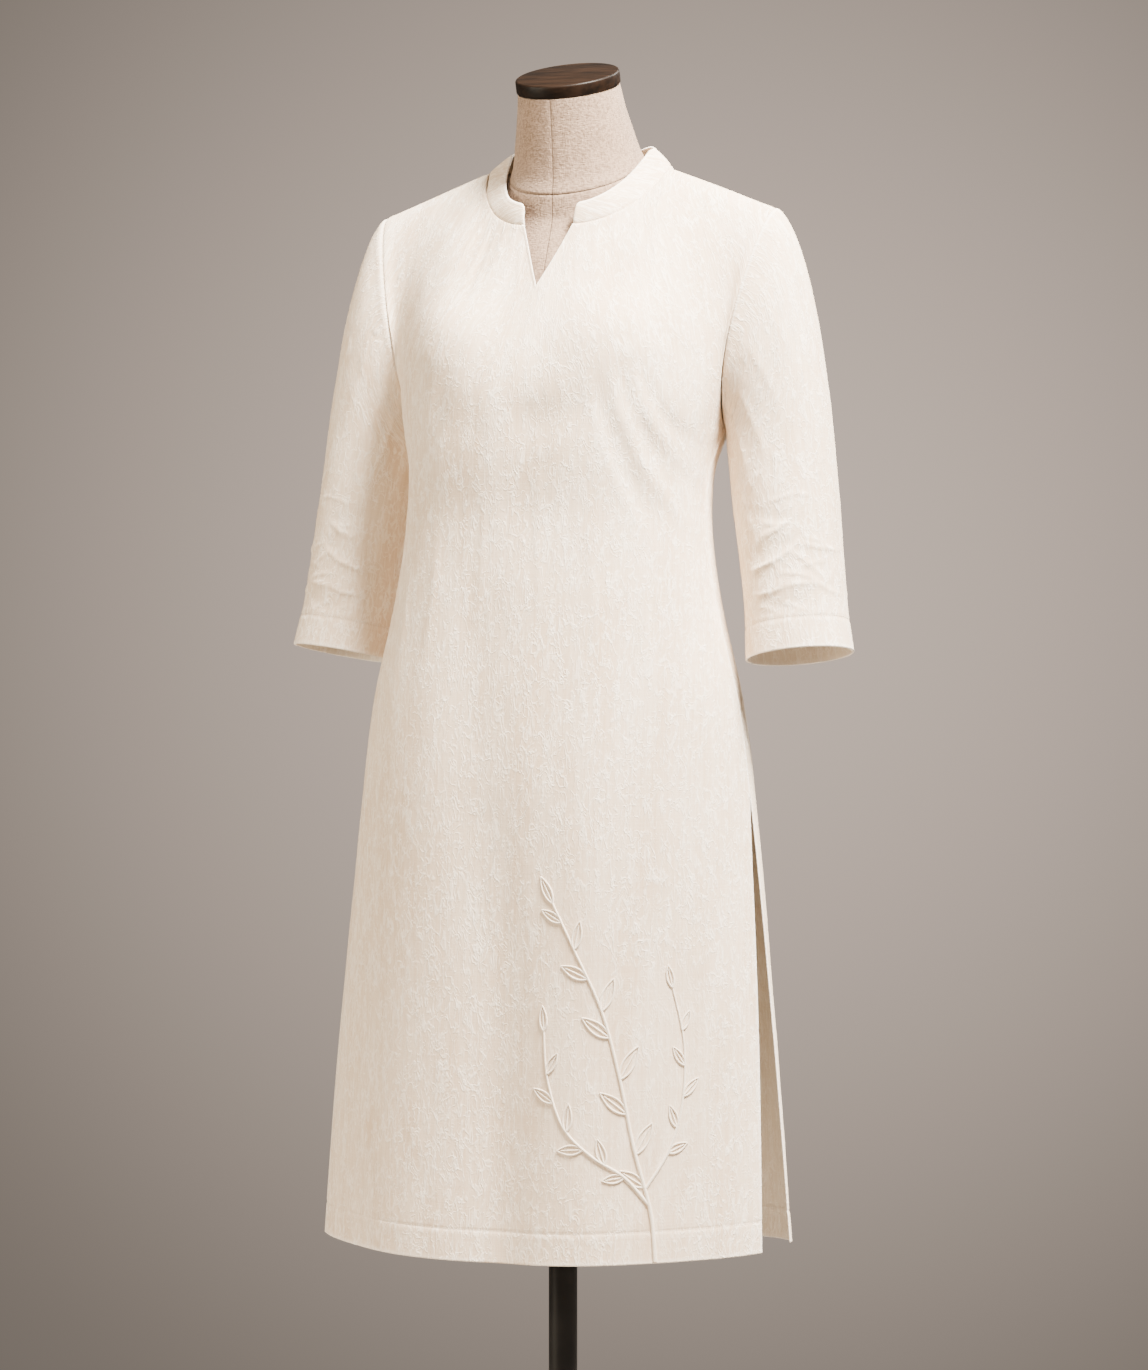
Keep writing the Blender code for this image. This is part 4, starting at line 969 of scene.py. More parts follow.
def makePanel(front):
    half = panelSet["halfColumns"][front]
    shares = [column / half for column in range(-half, half + 1)]
    levels = panelLevels(front)
    neckShare = bodyForm["neckShare"] if front else bodyForm["backNeckShare"]

    def place(across, level):
        return panelPoint(front, across if front else -across, level)

    work, grid, across, up = layCloth(shares, levels, place, half)
    easeCorner(front, work, grid, shares, neckShare)
    crinkles = strewCrinkles(grid, across, up, panelSet["crinkles"][front],
                             panelSet["seed"][front], panelSet["lean"])
    underarmRow = next(row for row, level in enumerate(levels) if level >= 1.0)
    slitRow = next(row for row, level in enumerate(levels) if level >= bodyForm["slitLevel"])
    seamDip, seamReach = panelSet["seamDip"], panelSet["seamReach"]
    hemDeep, slitEdge = panelSet["hemDeep"], panelSet["slitEdge"]
    hemBlend, slitBlend, calmEdge = (panelSet[key] for key in ("hemBlend", "slitBlend", "calmEdge"))
    hemDip, hemWide = panelSet["hemStitch"]
    slitDip, slitWide = panelSet["slitStitch"]
    rollHigh, rollWide = panelSet["slitRoll"]
    sideHigh, sideOff, sideWide = panelSet["sideSwell"]
    armHigh, armOff, armWide = panelSet["armSwell"]
    notchHigh, notchNear, notchFar = panelSet["notchRoll"]
    doubled, moves, calmed, paintedLight = {}, {}, {}, {}
    for column, threads in enumerate(grid):
        share = abs(shares[column])
        for row, vertex in enumerate(threads):
            point = vertex.co.copy()
            u, v = across[column][row], up[column][row]
            toSide = (across[-1][row] if u >= 0 else -across[0][row]) - abs(u)
            toTop = up[column][-1] - v
            ruffle = smoothStep(0.0, calmEdge, toSide) * smoothStep(0.0, calmEdge, toTop)
            push = panelPush(front, point, share)
            calmed[vertex] = sprigCalm(point) if front else 0.0
            ruffle *= 1.0 - linenSet["calmed"] * calmed[vertex]
            push += (crumple(point, 3.0) + crinkles.get(vertex, 0.0)) * ruffle
            # turned hem, with the hollow of its stitches; a painted highlight along its edge and a
            # painted shade along its stitches
            weight = 1.0 - smoothStep(hemDeep - hemBlend, hemDeep + hemBlend, v)
            paintedEdge = paintedEdgeLight(v) - panelSet["stitchShade"] * paintedEdgeLight(v - hemDeep)
            push -= hemDip * bell(v - hemDeep, hemWide)
            if row <= slitRow:  # turned slit edge, rolled out a little, with a painted highlight along it
                weight = max(weight, 1.0 - smoothStep(slitEdge - slitBlend,
                                                      slitEdge + slitBlend, toSide))
                push -= slitDip * bell(toSide - slitEdge, slitWide) * (v > hemDeep)
                push += rollHigh * bell(toSide, rollWide)
                paintedEdge = max(paintedEdge, paintedEdgeLight(toSide))
            elif row <= underarmRow:  # side seam, the front lapped over the back, with a painted highlight along the front's swell
                paintedEdge = paintedEdgeLight(toSide - sideOff) * (1.0 if front else 0.0)
                push += (sideHigh if front else 0.0) * bell(toSide - sideOff, sideWide)
                push -= seamDip * panelSet["sideShare"][front] * bell(toSide,
                                                                      panelSet["sideReach"])
            else:  # armhole
                push -= seamDip * bell(toSide, seamReach)
                push += armHigh * bell(toSide - armOff, armWide)
            if front and share < bodyForm["vShare"] + 0.001:  # turned edge of the notch, with a painted highlight along it
                weight = max(weight, 1.0 - smoothStep(*panelSet["notchTurn"], toTop))
                push += notchHigh * (1.0 - smoothStep(notchNear, notchFar, toTop))
                paintedEdge = paintedEdgeLight(toTop)
            else:  # neck and shoulder seams
                onNeck = share < neckShare
                push -= seamDip * (panelSet["neckShare"] if onNeck else 1.0) * bell(toTop,
                                                                                    seamReach)
            push += panelSet["turnLift"] * weight
            doubled[vertex], paintedLight[vertex] = weight, paintedEdge
            moves[vertex] = vertex.normal * push
    for vertex, move in moves.items():
        vertex.co += move
    piece = finishCloth(work, "frontPanel" if front else "backPanel", ivoryLinen,
                        panelSet["thin"], panelSet["doubled"],
                        {"calm": calmed, "paintedLight": paintedLight}, doubled)
    surface, rows = BVHTree.FromBMesh(work), clothRows(grid)
    tellCut(piece.name, work, across, up)
    work.free()
    return piece, surface, rows


frontPanel, frontSurface, frontRows = makePanel(True)
backPanel, backSurface, backRows = makePanel(False)
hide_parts("front_panel")
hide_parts("back_panel")


# sleeves
sleeveSet = {
    "columns": 150, "capRows": 70, "capCrowd": 1.1, "armRows": 84, "radius": 0.0505,
    "thin": 0.0009, "doubled": 0.0020, "cuffDeep": 0.0300, "cuffBlend": 0.0008,
    "turnLift": 0.0003, "tuck": 0.004, "tuckIn": 0.0012, "seamDip": 0.0007, "seamReach": 0.0018,
    # depth and width of each hollow; height, distance and width of the swell under the head
    "cuffStitch": (0.0006, 0.0012), "underSeam": (0.0006, 0.0022),
    # the swell under the head, a painted highlight beside the head seam (strength and distance),
    # and the painted shade along the cuff's stitches
    "headSwell": (0.0005, 0.006, 0.004), "headPaintedLight": (0.8, 0.0022), "stitchShade": 0.3,
    # where creases and crinkles fade out below the head and above the cuff
    "creaseHead": 0.020, "creaseCuff": (0.026, 0.040), "calmHead": 0.012,
    "calmCuff": (0.020, 0.040), "cuffRuffle": 0.35, "rough": 1.25, "lean": 0.9, "crinkles": 330,
    "seed": {1: 31, -1: 47}, "crumpleSeed": {1: 3.0, -1: 8.0},
}
# creases inside the elbow: angle and height at both ends, width, depth, bow, sharpness
elbowFolds = fullFolds((
    (140.0, 1.036, 52.0, 1.062, 0.0080, -0.0010),
    (122.0, 1.010, 30.0, 1.022, 0.0075, 0.0009),
    (128.0, 1.086, 60.0, 1.078, 0.0080, -0.0009),
    (104.0, 0.992, 50.0, 1.000, 0.0070, -0.0009),
    (178.0, 1.050, 232.0, 1.066, 0.0090, -0.0012),
    (190.0, 1.020, 250.0, 1.028, 0.0085, 0.0010),
))
elbowCreases = (
    (88.0, 1.095, 62.0, 1.103, 0.0019, 0.0011, 0.001, 0.8),
    (62.0, 1.103, 42.0, 1.100, 0.0018, 0.0010, 0.001, 0.8),
    (101.0, 1.076, 68.0, 1.076, 0.0020, 0.0012, -0.003, 0.8),
    (68.0, 1.080, 108.0, 1.057, 0.0020, 0.0013, 0.002, 0.8),
    (128.0, 1.028, 62.0, 1.057, 0.0023, 0.0018, -0.005, 0.8),
    (62.0, 1.057, 8.0, 1.049, 0.0021, 0.0015, -0.002, 0.8),
    (73.0, 1.048, 37.0, 1.022, 0.0020, 0.0015, 0.002, 0.8),
    (96.0, 1.038, 86.0, 1.026, 0.0018, 0.0012, 0.002, 0.8),
    (88.0, 1.026, 46.0, 1.020, 0.0020, 0.0014, 0.003, 0.8),
    (125.0, 1.006, 82.0, 1.014, 0.0021, 0.0015, -0.003, 0.8),
    (82.0, 1.014, 43.0, 1.017, 0.0020, 0.0013, 0.001, 0.8),
    (46.0, 1.018, 8.0, 1.006, 0.0020, 0.0013, -0.002, 0.8),
    (129.0, 1.018, 90.0, 1.038, 0.0020, 0.0012, 0.003, 0.8),
    (107.0, 1.060, 76.0, 1.070, 0.0019, 0.0011, 0.002, 0.8),
    (53.0, 1.061, 20.0, 1.048, 0.0019, 0.0012, 0.002, 0.8),
    (63.0, 1.032, 28.0, 1.038, 0.0018, 0.0010, 0.002, 0.8),
    (86.0, 0.999, 56.0, 0.988, 0.0018, 0.0011, 0.001, 0.8),
    (66.0, 0.990, 50.0, 1.004, 0.0017, 0.0008, -0.001, 0.8),
    (118.0, 0.994, 92.0, 0.988, 0.0018, 0.0010, 0.002, 0.8),
    (34.0, 1.068, 26.0, 1.092, 0.0017, 0.0008, 0.003, 0.7),
    (110.0, 1.104, 92.0, 1.126, 0.0020, 0.0010, 0.003, 0.6),
    (24.0, 1.018, 14.0, 1.036, 0.0017, 0.0008, 0.002, 0.7),
    # softer ones behind the elbow
    (200.0, 1.062, 262.0, 1.078, 0.0024, 0.0011, 0.004, 0.6),
    (188.0, 1.040, 256.0, 1.050, 0.0024, 0.0012, -0.005, 0.6),
    (196.0, 1.012, 268.0, 1.020, 0.0022, 0.0012, 0.004, 0.6),
    (214.0, 0.994, 270.0, 1.000, 0.0021, 0.0009, 0.003, 0.6),
    (256.0, 1.060, 300.0, 1.044, 0.0021, 0.0009, 0.004, 0.6),
    (250.0, 1.034, 306.0, 1.026, 0.0021, 0.0010, -0.003, 0.6),
)
# drags on the sleeve head: angle and height
headCreases = (
    (96.0, 1.250, 70.0, 1.180, 0.0046, 0.0010, 0.003, 0.4),
    (116.0, 1.200, 90.0, 1.140, 0.0046, 0.0012, 0.003, 0.4),
    (132.0, 1.180, 112.0, 1.112, 0.0044, 0.0012, 0.003, 0.5),
    (62.0, 1.290, 48.0, 1.210, 0.0050, 0.0007, 0.003, 0.3),
    (262.0, 1.250, 286.0, 1.170, 0.0046, 0.0010, 0.003, 0.4),
    (244.0, 1.200, 266.0, 1.130, 0.0046, 0.0011, -0.003, 0.4),
    (224.0, 1.176, 244.0, 1.104, 0.0044, 0.0011, 0.003, 0.5),
)


def makeSleeve(side):
    form, arc = sleeveSet, math.radians(sleeveSet["radius"])
    angles = [180.0 - 360.0 * column / form["columns"] for column in range(form["columns"] + 1)]
    downs = [-form["tuck"], -form["tuck"] / 2]
    downs += [(row / form["capRows"]) ** form["capCrowd"] for row in range(form["capRows"] + 1)]
    top, bottom = sleeveForm["rings"][0][0], sleeveForm["rings"][-1][0]
    cuff = [metres / (top - bottom) for metres in reversed(hemRows)]
    reach = 1.0 - cuff[0]
    downs += [1.0 + reach * row / form["armRows"] for row in range(1, form["armRows"] + 1)]
    downs += [2.0 - share for share in cuff[1:]]

    def place(angle, down):
        point = sleevePoint(angle, down)
        return Vector((side * point.x, point.y, point.z))

    turned = angles if side > 0 else angles[::-1]
    work, grid, across, up = layCloth(turned, downs[::-1], place, form["columns"] // 2)
    crinkles = strewCrinkles(grid, across, up, form["crinkles"], form["seed"][side],
                             form["lean"])
    creases = elbowFolds + elbowCreases + headCreases
    headRow, cuffDeep, cuffBlend = len(downs) - 3, form["cuffDeep"], form["cuffBlend"]
    cuffDip, cuffWide = form["cuffStitch"]
    underDip, underWide = form["underSeam"]
    swellHigh, swellOff, swellWide = form["headSwell"]
    headPale, headOff = form["headPaintedLight"]
    moves, doubled, paintedLight = {}, {}, {}
    for angle, threads, lengths in zip(turned, grid, up):
        toSeam = (180.0 - abs(angle)) * arc
        for vertex, v in zip(threads, lengths):
            point = vertex.co.copy()
            toHead = lengths[headRow] - v
            push = 0.0
            for crease in creases:
                push += foldHeight(crease, angle % 360.0, point.z, arc)
            push *= smoothStep(0.0, form["creaseHead"], toHead) * smoothStep(*form["creaseCuff"], v)
            ruffle = smoothStep(0.0, form["calmHead"], toHead) * smoothStep(*form["calmCuff"], v)
            push += (crumple(point, form["crumpleSeed"][side]) * form["rough"]
                     + crinkles.get(vertex, 0.0)) * max(ruffle, form["cuffRuffle"] * (v < cuffDeep))
            push -= underDip * bell(toSeam, underWide)
            push -= form["seamDip"] * bell(max(toHead, 0.0), form["seamReach"])
            push += swellHigh * bell(toHead - swellOff, swellWide)
            if toHead < 0.0:
                push -= form["tuckIn"]
            doubled[vertex] = 1.0 - smoothStep(cuffDeep - cuffBlend, cuffDeep + cuffBlend, v)
            push -= cuffDip * bell(v - cuffDeep, cuffWide)
            push += form["turnLift"] * doubled[vertex]
            # painted highlight at the cuff's edge and beside the head seam, less a painted shade
            # along the cuff's stitches
            paintedLight[vertex] = (max(paintedEdgeLight(v), headPale * paintedEdgeLight(toHead - headOff))
                               - form["stitchShade"] * paintedEdgeLight(v - cuffDeep))
            moves[vertex] = vertex.normal * push
    # both edges of the tube move together along the underarm seam
    for one, two in zip(grid[0], grid[-1]):
        both = (moves[one] + moves[two]) / 2
        moves[one], moves[two] = both, both
    for vertex, move in moves.items():
        vertex.co += move
    rows = clothRows(grid)
    bmesh.ops.remove_doubles(work, verts=grid[0] + grid[-1], dist=0.00002)
    name = "sleeveLeft" if side > 0 else "sleeveRight"
    piece = finishCloth(work, name, ivoryLinen, form["thin"], form["doubled"],
                        {"paintedLight": paintedLight}, doubled)
    surface = BVHTree.FromBMesh(work)
    tellCut(name, work, across, up)
    work.free()
    return piece, surface, rows


sleeveLeft, leftSurface, leftRows = makeSleeve(1)
sleeveRight, rightSurface, rightRows = makeSleeve(-1)
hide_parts("sleeve_left")
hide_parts("sleeve_right")


# stand collar, one doubled strip from front end to front end
collarSet = {
    "columns": 260, "rows": 20, "thin": 0.0020, "tuck": 0.0030, "tuckIn": 0.0012,
    "corner": 0.0085, "bulge": 0.0010, "neckY": 0.0370,
    # depth and width of the rolled edge, the seam at the foot and the row under the top
    "roll": (0.0009, 0.0016), "footSeam": (0.0007, 0.0012), "topRow": (0.0003, 0.0010),
    "topRowOff": 0.0045, "rough": 0.9, "standColumns": ("share", "x", "y", "z", "height"),
    "stand": ((0.00, 0.00, 0.18, 0.98, 0.0215), (0.12, -0.16, 0.20, 0.96, 0.0235),
              (0.28, -0.52, 0.24, 0.82, 0.0270), (0.46, -0.76, 0.14, 0.63, 0.0290),
              (0.60, -0.70, 0.20, 0.68, 0.0285), (0.80, -0.32, -0.04, 0.94, 0.0290),
              (1.00, 0.00, -0.16, 0.98, 0.0290)),
}
seamPoints = [neckSeam(1, step / 60) for step in range(61)]
halfCollar = sum((two - one).length for one, two in zip(seamPoints, seamPoints[1:]))


def collarPoint(turned, rise):
    side = 1.0 if turned >= 0.0 else -1.0
    share = 1.0 - abs(turned)
    foot = neckSeam(side, share)
    stand = readTable(collarSet["standColumns"], collarSet["stand"], share)
    way = Vector((side * stand["x"], stand["y"], stand["z"])).normalized()
    height, fromEnd = stand["height"], share * halfCollar
    corner = collarSet["corner"]
    if fromEnd < corner:
        height -= corner - math.sqrt(max(corner ** 2 - (corner - fromEnd) ** 2, 0.0))
    outward = Vector((foot.x, foot.y - collarSet["neckY"], 0.0)).normalized()
    if rise < 0.0:
        return foot + way * rise - outward * collarSet["tuckIn"]
    bulge = collarSet["bulge"] * math.sin(math.pi * rise)
    return foot + way * (height * rise) + outward * bulge


def makeCollar():
    form = collarSet
    turns = [1.0 - 2.0 * column / form["columns"] for column in range(form["columns"] + 1)]
    rises = [-form["tuck"], 0.0] + [row / form["rows"] for row in range(1, form["rows"] + 1)]
    work, grid, across, up = layCloth(turns, rises, collarPoint, form["columns"] // 2)
    rollDip, rollWide = form["roll"]
    footDip, footWide = form["footSeam"]
    rowDip, rowWide = form["topRow"]
    paintedLight = {}
    for turned, threads, heights in zip(turns, grid, up):
        fromEnd = (1.0 - abs(turned)) * halfCollar
        for vertex, height in zip(threads, heights):
            toTop, toFoot = heights[-1] - height, height - heights[1]
            push = crumple(vertex.co * 1.3, 5.0, 0.6) * form["rough"]
            push -= rollDip * bell(toTop, rollWide)
            push -= rollDip * bell(fromEnd, rollWide)
            push -= footDip * bell(max(toFoot, 0.0), footWide)
            push -= rowDip * bell(toTop - form["topRowOff"], rowWide)
            vertex.co += vertex.normal * push
            # painted highlight along the collar's top edge and its ends
            paintedLight[vertex] = max(paintedEdgeLight(toTop), paintedEdgeLight(fromEnd))
    piece = finishCloth(work, "collarBand", ivoryFlat, form["thin"], form["thin"],
                        {"paintedLight": paintedLight})
    tellCut(piece.name, work, across, up)
    work.free()
    return piece


collarBand = makeCollar()
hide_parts("collar_band")
print("cloth made")


# limbless form: padded torso and neck under one linen cover
torsoSet = {
    "columns": ("z", "half", "front", "back", "y", "power", "lobe", "lean"),
    "rings": (
        (0.800, 0.1640, 0.096, 0.104, -0.012, 2.2, 0.0, 0.00),
        (0.815, 0.1720, 0.104, 0.112, -0.012, 2.2, 0.0, 0.00),
        (0.880, 0.1700, 0.104, 0.112, -0.012, 2.2, 0.0, 0.00),
        (0.970, 0.1520, 0.094, 0.100, -0.012, 2.2, 0.0, 0.00),
        (1.080, 0.1340, 0.084, 0.086, -0.008, 2.2, 0.0, 0.00),
        (1.130, 0.1380, 0.096, 0.082, 0.002, 2.3, 0.0, 0.00),
        (1.180, 0.1440, 0.116, 0.080, 0.020, 2.4, 0.0, 0.00),
        (1.225, 0.1500, 0.112, 0.078, 0.030, 2.3, 0.0, 0.00),
        (1.280, 0.1580, 0.100, 0.074, 0.036, 2.1, 0.2, 0.00),
        (1.325, 0.1600, 0.087, 0.066, 0.038, 2.0, 0.7, 0.02),
        (1.352, 0.1520, 0.077, 0.062, 0.038, 2.0, 1.0, 0.07),
        (1.373, 0.1300, 0.070, 0.061, 0.038, 2.0, 1.0, 0.15),
        (1.389, 0.1040, 0.067, 0.062, 0.038, 2.0, 1.0, 0.25),
        (1.405, 0.0800, 0.066, 0.064, 0.037, 2.0, 1.0, 0.36),
        (1.4245, 0.0660, 0.066, 0.066, 0.037, 2.0, 1.0, 0.44),
    ),
    "lobePower": 5.0, "columnsRound": 120, "rowsUp": 110, "dipAtTop": True,
    "dip": (0.0011, 0.0012),
}
neckSet = {
    "columns": ("z", "y", "radius", "lean"),
    "rings": ((1.4250, 0.0370, 0.0662, 0.44), (1.4350, 0.0355, 0.0625, 0.40),
              (1.4550, 0.0300, 0.0582, 0.35), (1.4790, 0.0220, 0.0535, 0.32),
              (1.5030, 0.0150, 0.0500, 0.325)),
    "columnsRound": 160, "rowsUp": 44, "dipAtTop": False, "dip": (0.0006, 0.0007),
}
paddedSet = {"rimRows": (0.0006, 0.0013, 0.0022, 0.0036), "seam": (0.0004, 0.0022),
             "seamSwell": (0.0002, 0.0040, 0.0024), "lumps": (0.0004, 38.0), "sharpFrom": 50.0}


def torsoPoint(bearing, height):
    ring = readTable(torsoSet["columns"], torsoSet["rings"], height)
    front = math.cos(bearing) > 0.0
    depth = ring["front"] if front else ring["back"]
    x, reach = superellipse(ring["half"], depth, ring["power"], bearing)
    lobe = abs(math.sin(bearing)) ** torsoSet["lobePower"]
    roundReach = depth + (ring["half"] - depth) * lobe
    x += (roundReach * math.sin(bearing) - x) * ring["lobe"]
    reach += (roundReach * math.cos(bearing) - reach) * ring["lobe"]
    return Vector((x, ring["y"] - reach, height - ring["lean"] * reach))


def neckPoint(bearing, height):
    ring = readTable(neckSet["columns"], neckSet["rings"], height)
    reach = ring["radius"] * math.cos(bearing)
    return Vector((ring["radius"] * math.sin(bearing), ring["y"] - reach,
                   height - ring["lean"] * reach))


# a closed padded piece from its rings, with the cover's front and back seams pressed into it
def makePadded(name, pointAt, form):
    columns, rows, rims = form["columnsRound"], form["rowsUp"], paddedSet["rimRows"]
    low, high = form["rings"][0][0], form["rings"][-1][0]
    turns = [math.pi - 2.0 * math.pi * column / columns for column in range(columns + 1)]
    heights = [low + (high - low) * row / rows for row in range(rows + 1)]
    heights += [low + metres for metres in rims] + [high - metres for metres in rims]
    heights.sort()
    work, grid, across, up = layCloth(turns[::-1], heights, pointAt, columns // 2)
    seamDip, seamWide = paddedSet["seam"]
    swellHigh, swellOff, swellWide = paddedSet["seamSwell"]
    lumpHigh, lumpFine = paddedSet["lumps"]
    dipDeep, dipWide = form["dip"]
    moves = {}
    for column, threads in enumerate(grid):
        for row, vertex in enumerate(threads):
            over, height = across[column][row], up[column][row]
            push = 0.0
            for off in (abs(over), across[-1][row] - over):
                push -= seamDip * bell(off, seamWide)
                push += swellHigh * bell(off - swellOff, swellWide)
            toRim = up[column][-1] - height if form["dipAtTop"] else height
            push -= dipDeep * bell(toRim, dipWide)
            push += lumpHigh * noise.noise(vertex.co * lumpFine)
            moves[vertex] = vertex.normal * push
    for vertex, move in moves.items():
        vertex.co += move
    bmesh.ops.remove_doubles(work, verts=grid[0] + grid[-1], dist=0.0012)
    rims = [edge for edge in work.edges if edge.is_boundary]
    bmesh.ops.holes_fill(work, edges=rims, sides=0)
    bmesh.ops.recalc_face_normals(work, faces=work.faces)
    return finishPiece(work, name, coverLinen, paddedSet["sharpFrom"])


formTorso = makePadded("formTorso", torsoPoint, torsoSet)
formNeck = makePadded("formNeck", neckPoint, neckSet)
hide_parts("form_torso")
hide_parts("form_neck")


# turned pieces: neck cap, pole, base and its socket
turnedSet = {
    "neckCap": {"radius": 0.0515, "thick": 0.0130, "edge": 0.0024, "lowerEdge": 0.0010,
                "gap": 0.0005},
    "pole": {"radius": 0.0140, "bottom": 0.0150, "top": 0.7995, "edge": 0.0006},
    "base": {"radius": 0.200, "thick": 0.0145, "edge": 0.0040},
    "socket": {"radius": 0.0270, "bottom": 0.0149, "height": 0.0420, "bore": 0.0144,
               "edge": 0.0025},
}


def finishTurned(work, name, material, node, placed=None):
    bmesh.ops.recalc_face_normals(work, faces=work.faces)
    if placed:
        bmesh.ops.transform(work, matrix=placed, verts=work.verts)
    piece = finishPiece(work, name, material, 35.0)
    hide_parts(node)
    return piece


def rimEdges(work, height, radius=None):
    found = []
    for edge in work.edges:
        one, two = edge.verts[0].co, edge.verts[1].co
        if abs(one.z - height) > 0.00001 or abs(two.z - height) > 0.00001:
            continue
        if radius is None or abs(one.xy.length - radius) < 0.0001 > abs(two.xy.length - radius):
            found.append(edge)
    return found


def roundEdges(work, edges, offset, segments=4):
    bmesh.ops.bevel(work, geom=edges, offset=offset, offset_type="OFFSET", affect="EDGES",
                    segments=segments, profile=0.5, material=-1)


def roundDisc(radius, bottom, top, edge, segments=128):
    work = bmesh.new()
    bmesh.ops.create_cone(work, cap_ends=True, segments=segments, radius1=radius, radius2=radius,
                          depth=top - bottom)
    bmesh.ops.translate(work, vec=(0.0, 0.0, (top + bottom) / 2), verts=work.verts)
    roundEdges(work, rimEdges(work, top), edge)
    return work


capForm = turnedSet["neckCap"]
capHeight, capY, _, capSlope = neckSet["rings"][-1]
lean, gap = math.atan(capSlope), capForm["gap"]
capPlace = Matrix.Translation((0.0, capY - gap * math.sin(lean), capHeight + gap * math.cos(lean)))
capPlace = capPlace @ Matrix.Rotation(lean, 4, "X")
work = roundDisc(capForm["radius"], 0.0, capForm["thick"], capForm["edge"])
roundEdges(work, rimEdges(work, 0.0), capForm["lowerEdge"], 3)
finishTurned(work, "neckCap", darkWood, "form_neck_cap", capPlace)

poleForm = turnedSet["pole"]
work = roundDisc(poleForm["radius"], poleForm["bottom"], poleForm["top"], poleForm["edge"], 64)
finishTurned(work, "pole", blackMetal, "form_pole")

baseForm = turnedSet["base"]
work = roundDisc(baseForm["radius"], 0.0, baseForm["thick"], baseForm["edge"], 160)
finishTurned(work, "base", blackMetal, "form_base")

socketForm = turnedSet["socket"]
work = bmesh.new()
corners = [work.verts.new((radius, 0.0, height)) for radius, height in (
    (socketForm["bore"], 0.0), (socketForm["radius"], 0.0),
    (socketForm["radius"], socketForm["height"]), (socketForm["bore"], socketForm["height"]))]
profile = [work.edges.new((corners[n], corners[(n + 1) % 4])) for n in range(4)]
bmesh.ops.spin(work, geom=corners + profile, cent=(0, 0, 0), axis=(0, 0, 1), angle=2 * math.pi,
               steps=96, use_merge=True)
bmesh.ops.remove_doubles(work, verts=work.verts, dist=0.00001)
roundEdges(work, rimEdges(work, socketForm["height"], socketForm["radius"]), socketForm["edge"])
socketPlace = Matrix.Translation((0.0, 0.0, socketForm["bottom"]))
finishTurned(work, "baseSocket", blackMetal, "form_base_socket", socketPlace)
print("dress form made")


# rows of stitches: small lozenges of thread lying in the hollow of each seam
stitchSet = {"long": 0.0022, "pitch": 0.0031, "wide": 0.00042, "high": 0.00030, "lift": 0.00012,
             "slitShort": 0.004}


def addStitches(work, line, surface):
    size = Matrix.Diagonal((stitchSet["long"] / 2, stitchSet["wide"] / 2, stitchSet["high"] / 2,
                            1.0))
    walked, wanted = 0.0, stitchSet["pitch"] / 2
    for one, two in zip(line, line[1:]):
        step = (two - one).length
        while step > 0.0 and wanted <= walked + step:
            spot = one.lerp(two, (wanted - walked) / step)
            along = (two - one).normalized()
            near, normal, _, _ = surface.find_nearest(spot)
            wanted += stitchSet["pitch"]
            if near is None:
                continue
            turned = Matrix((along, normal.cross(along).normalized(), normal)).transposed()
            placed = Matrix.Translation(near + normal * stitchSet["lift"]) @ turned.to_4x4() @ size
            bmesh.ops.create_uvsphere(work, u_segments=6, v_segments=4, radius=1.0,
                                      matrix=placed)
        walked += step


# the row of a cloth that lies nearest to a length above its lower edge
def rowAt(rows, metres):
    middle = len(rows[0]) // 2
    walked = 0.0
    for low, high in zip(rows, rows[1:]):
        walked += (high[middle] - low[middle]).length
        if walked >= metres:
            return high
    return rows[-1]


def slitLine(rows, side, inset):
    line = []
    for row in rows:
        if row[0].z > bodyForm["slitTop"] - stitchSet["slitShort"]:
            break
        walked = 0.0
        threads = row if side < 0 else row[::-1]
        for one, two in zip(threads, threads[1:]):
            walked += (two - one).length
            if walked >= inset:
                line.append(two)
                break
    return line


# one thread piece for each cloth: its hem or cuff, and both slit edges of a panel
def sewCloth(name, rows, surface, deep, inset=None):
    work = bmesh.new()
    addStitches(work, rowAt(rows, deep), surface)
    if inset:
        for side in (-1, 1):
            addStitches(work, slitLine(rows, side, inset), surface)
    return finishPiece(work, name, ivoryThread)


hemDeep, slitEdge, cuffDeep = panelSet["hemDeep"], panelSet["slitEdge"], sleeveSet["cuffDeep"]
frontStitches = sewCloth("frontStitches", frontRows, frontSurface, hemDeep, slitEdge)
backStitches = sewCloth("backStitches", backRows, backSurface, hemDeep, slitEdge)
leftStitches = sewCloth("leftCuffStitches", leftRows, leftSurface, cuffDeep)
rightStitches = sewCloth("rightCuffStitches", rightRows, rightSurface, cuffDeep)
print("stitches made")


# the sprig: cords laid on the front
def onFront(x, z):
    hit, normal, _, _ = frontSurface.ray_cast(Vector((x, -0.6, z)), Vector((0.0, 1.0, 0.0)))
    return hit + normal * sprigSet["lift"]


# the front's threads run closer in x towards the side, so lengths are laid along the cloth
def clothStep(x):
    return math.sqrt(max(0.25, 1.0 - (x / bodyForm["rings"][0][1]) ** 2))


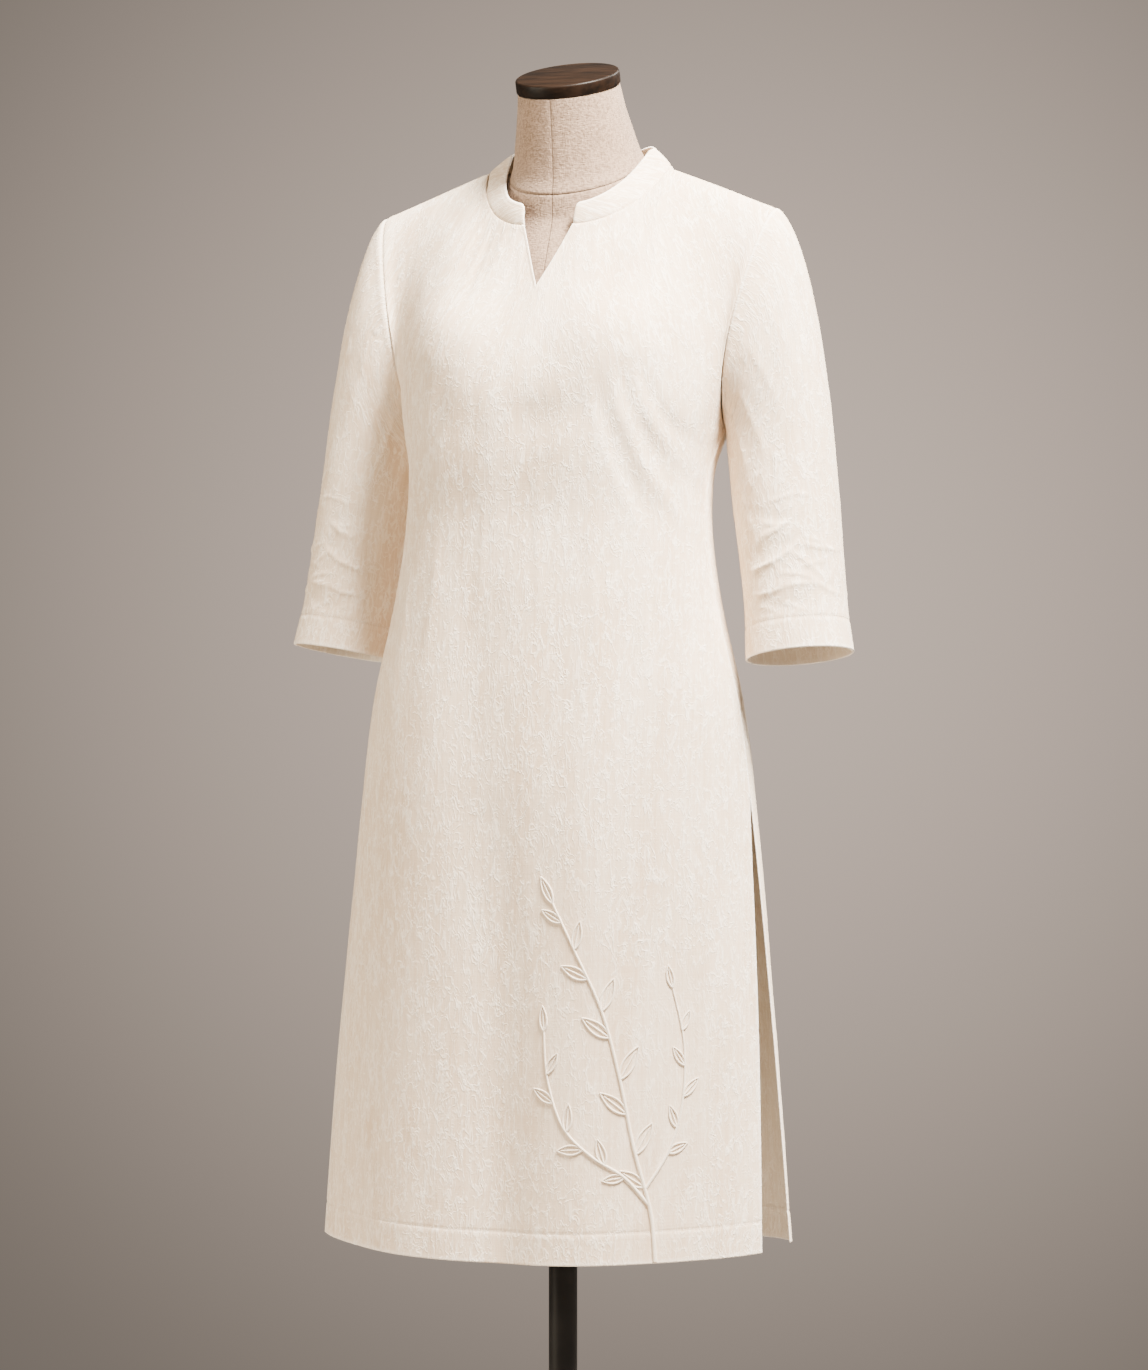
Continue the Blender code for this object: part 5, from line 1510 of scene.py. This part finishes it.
sprigCurve = bpy.data.curves.new("sprigCord", "CURVE")
sprigCurve.dimensions = "3D"
sprigCurve.bevel_depth = sprigSet["stem"]
sprigCurve.bevel_resolution = 2
sprigCurve.use_fill_caps = True


def addCord(path, scales):
    spline = sprigCurve.splines.new("POLY")
    spline.points.add(len(path) - 1)
    for point, (x, z), scale in zip(spline.points, path, scales):
        point.co = (*onFront(x, z), 1.0)
        point.radius = scale


def addLeaf(foot, heading, long, wide):
    fine = sprigSet["leafCord"] / sprigSet["stem"]
    squeeze = clothStep(foot[0])
    for side in (-1, 0, 1):  # both edges and the middle vein
        path, scales = [], []
        for step in range(sprigSet["leafSteps"] + 1):
            share = step / sprigSet["leafSteps"]
            along = long * share if side else long * (0.04 + 0.80 * share)
            off = side * wide / 2 * math.sin(math.pi * share ** 0.85) ** 0.9
            x = foot[0] + (along * math.cos(heading) - off * math.sin(heading)) * squeeze
            z = foot[1] + along * math.sin(heading) + off * math.cos(heading)
            path.append((x, z))
            scales.append(fine * (1.0 if side else 0.8) * (1.0 - 0.35 * share))
        addCord(path, scales)


for path, (_, footScale, tipScale), leaves in zip(sprigPaths, sprigStems, sprigLeaves):
    steps = sprigSet["stemSteps"]
    addCord(path, [footScale + (tipScale - footScale) * step / steps
                   for step in range(steps + 1)])
    for share, side, long, wide, angle in leaves:
        index = min(steps - 1, int(share * steps))
        foot, ahead = path[index], path[index + 1]
        if side == 0:
            foot = path[steps]
        stemWay = math.atan2(ahead[1] - path[index][1],
                             (ahead[0] - path[index][0]) / clothStep(foot[0]))
        addLeaf(foot, stemWay + side * math.radians(angle), long, wide)
sprigObject = bpy.data.objects.new("sprigSource", sprigCurve)
bpy.context.scene.collection.objects.link(sprigObject)
bpy.context.view_layer.update()
sprigMesh = bpy.data.meshes.new_from_object(sprigObject.evaluated_get(
    bpy.context.evaluated_depsgraph_get()))
bpy.data.objects.remove(sprigObject, do_unlink=True)
sprigMesh.name = "sprigEmbroidery"
sprigMesh.shade_smooth()
sprigMesh.materials.clear()
sprigMesh.materials.append(ivoryThread)
sprig = placePiece("sprigEmbroidery", sprigMesh)
print("sprig made,", len(sprigMesh.polygons), "faces")


print("finishing")
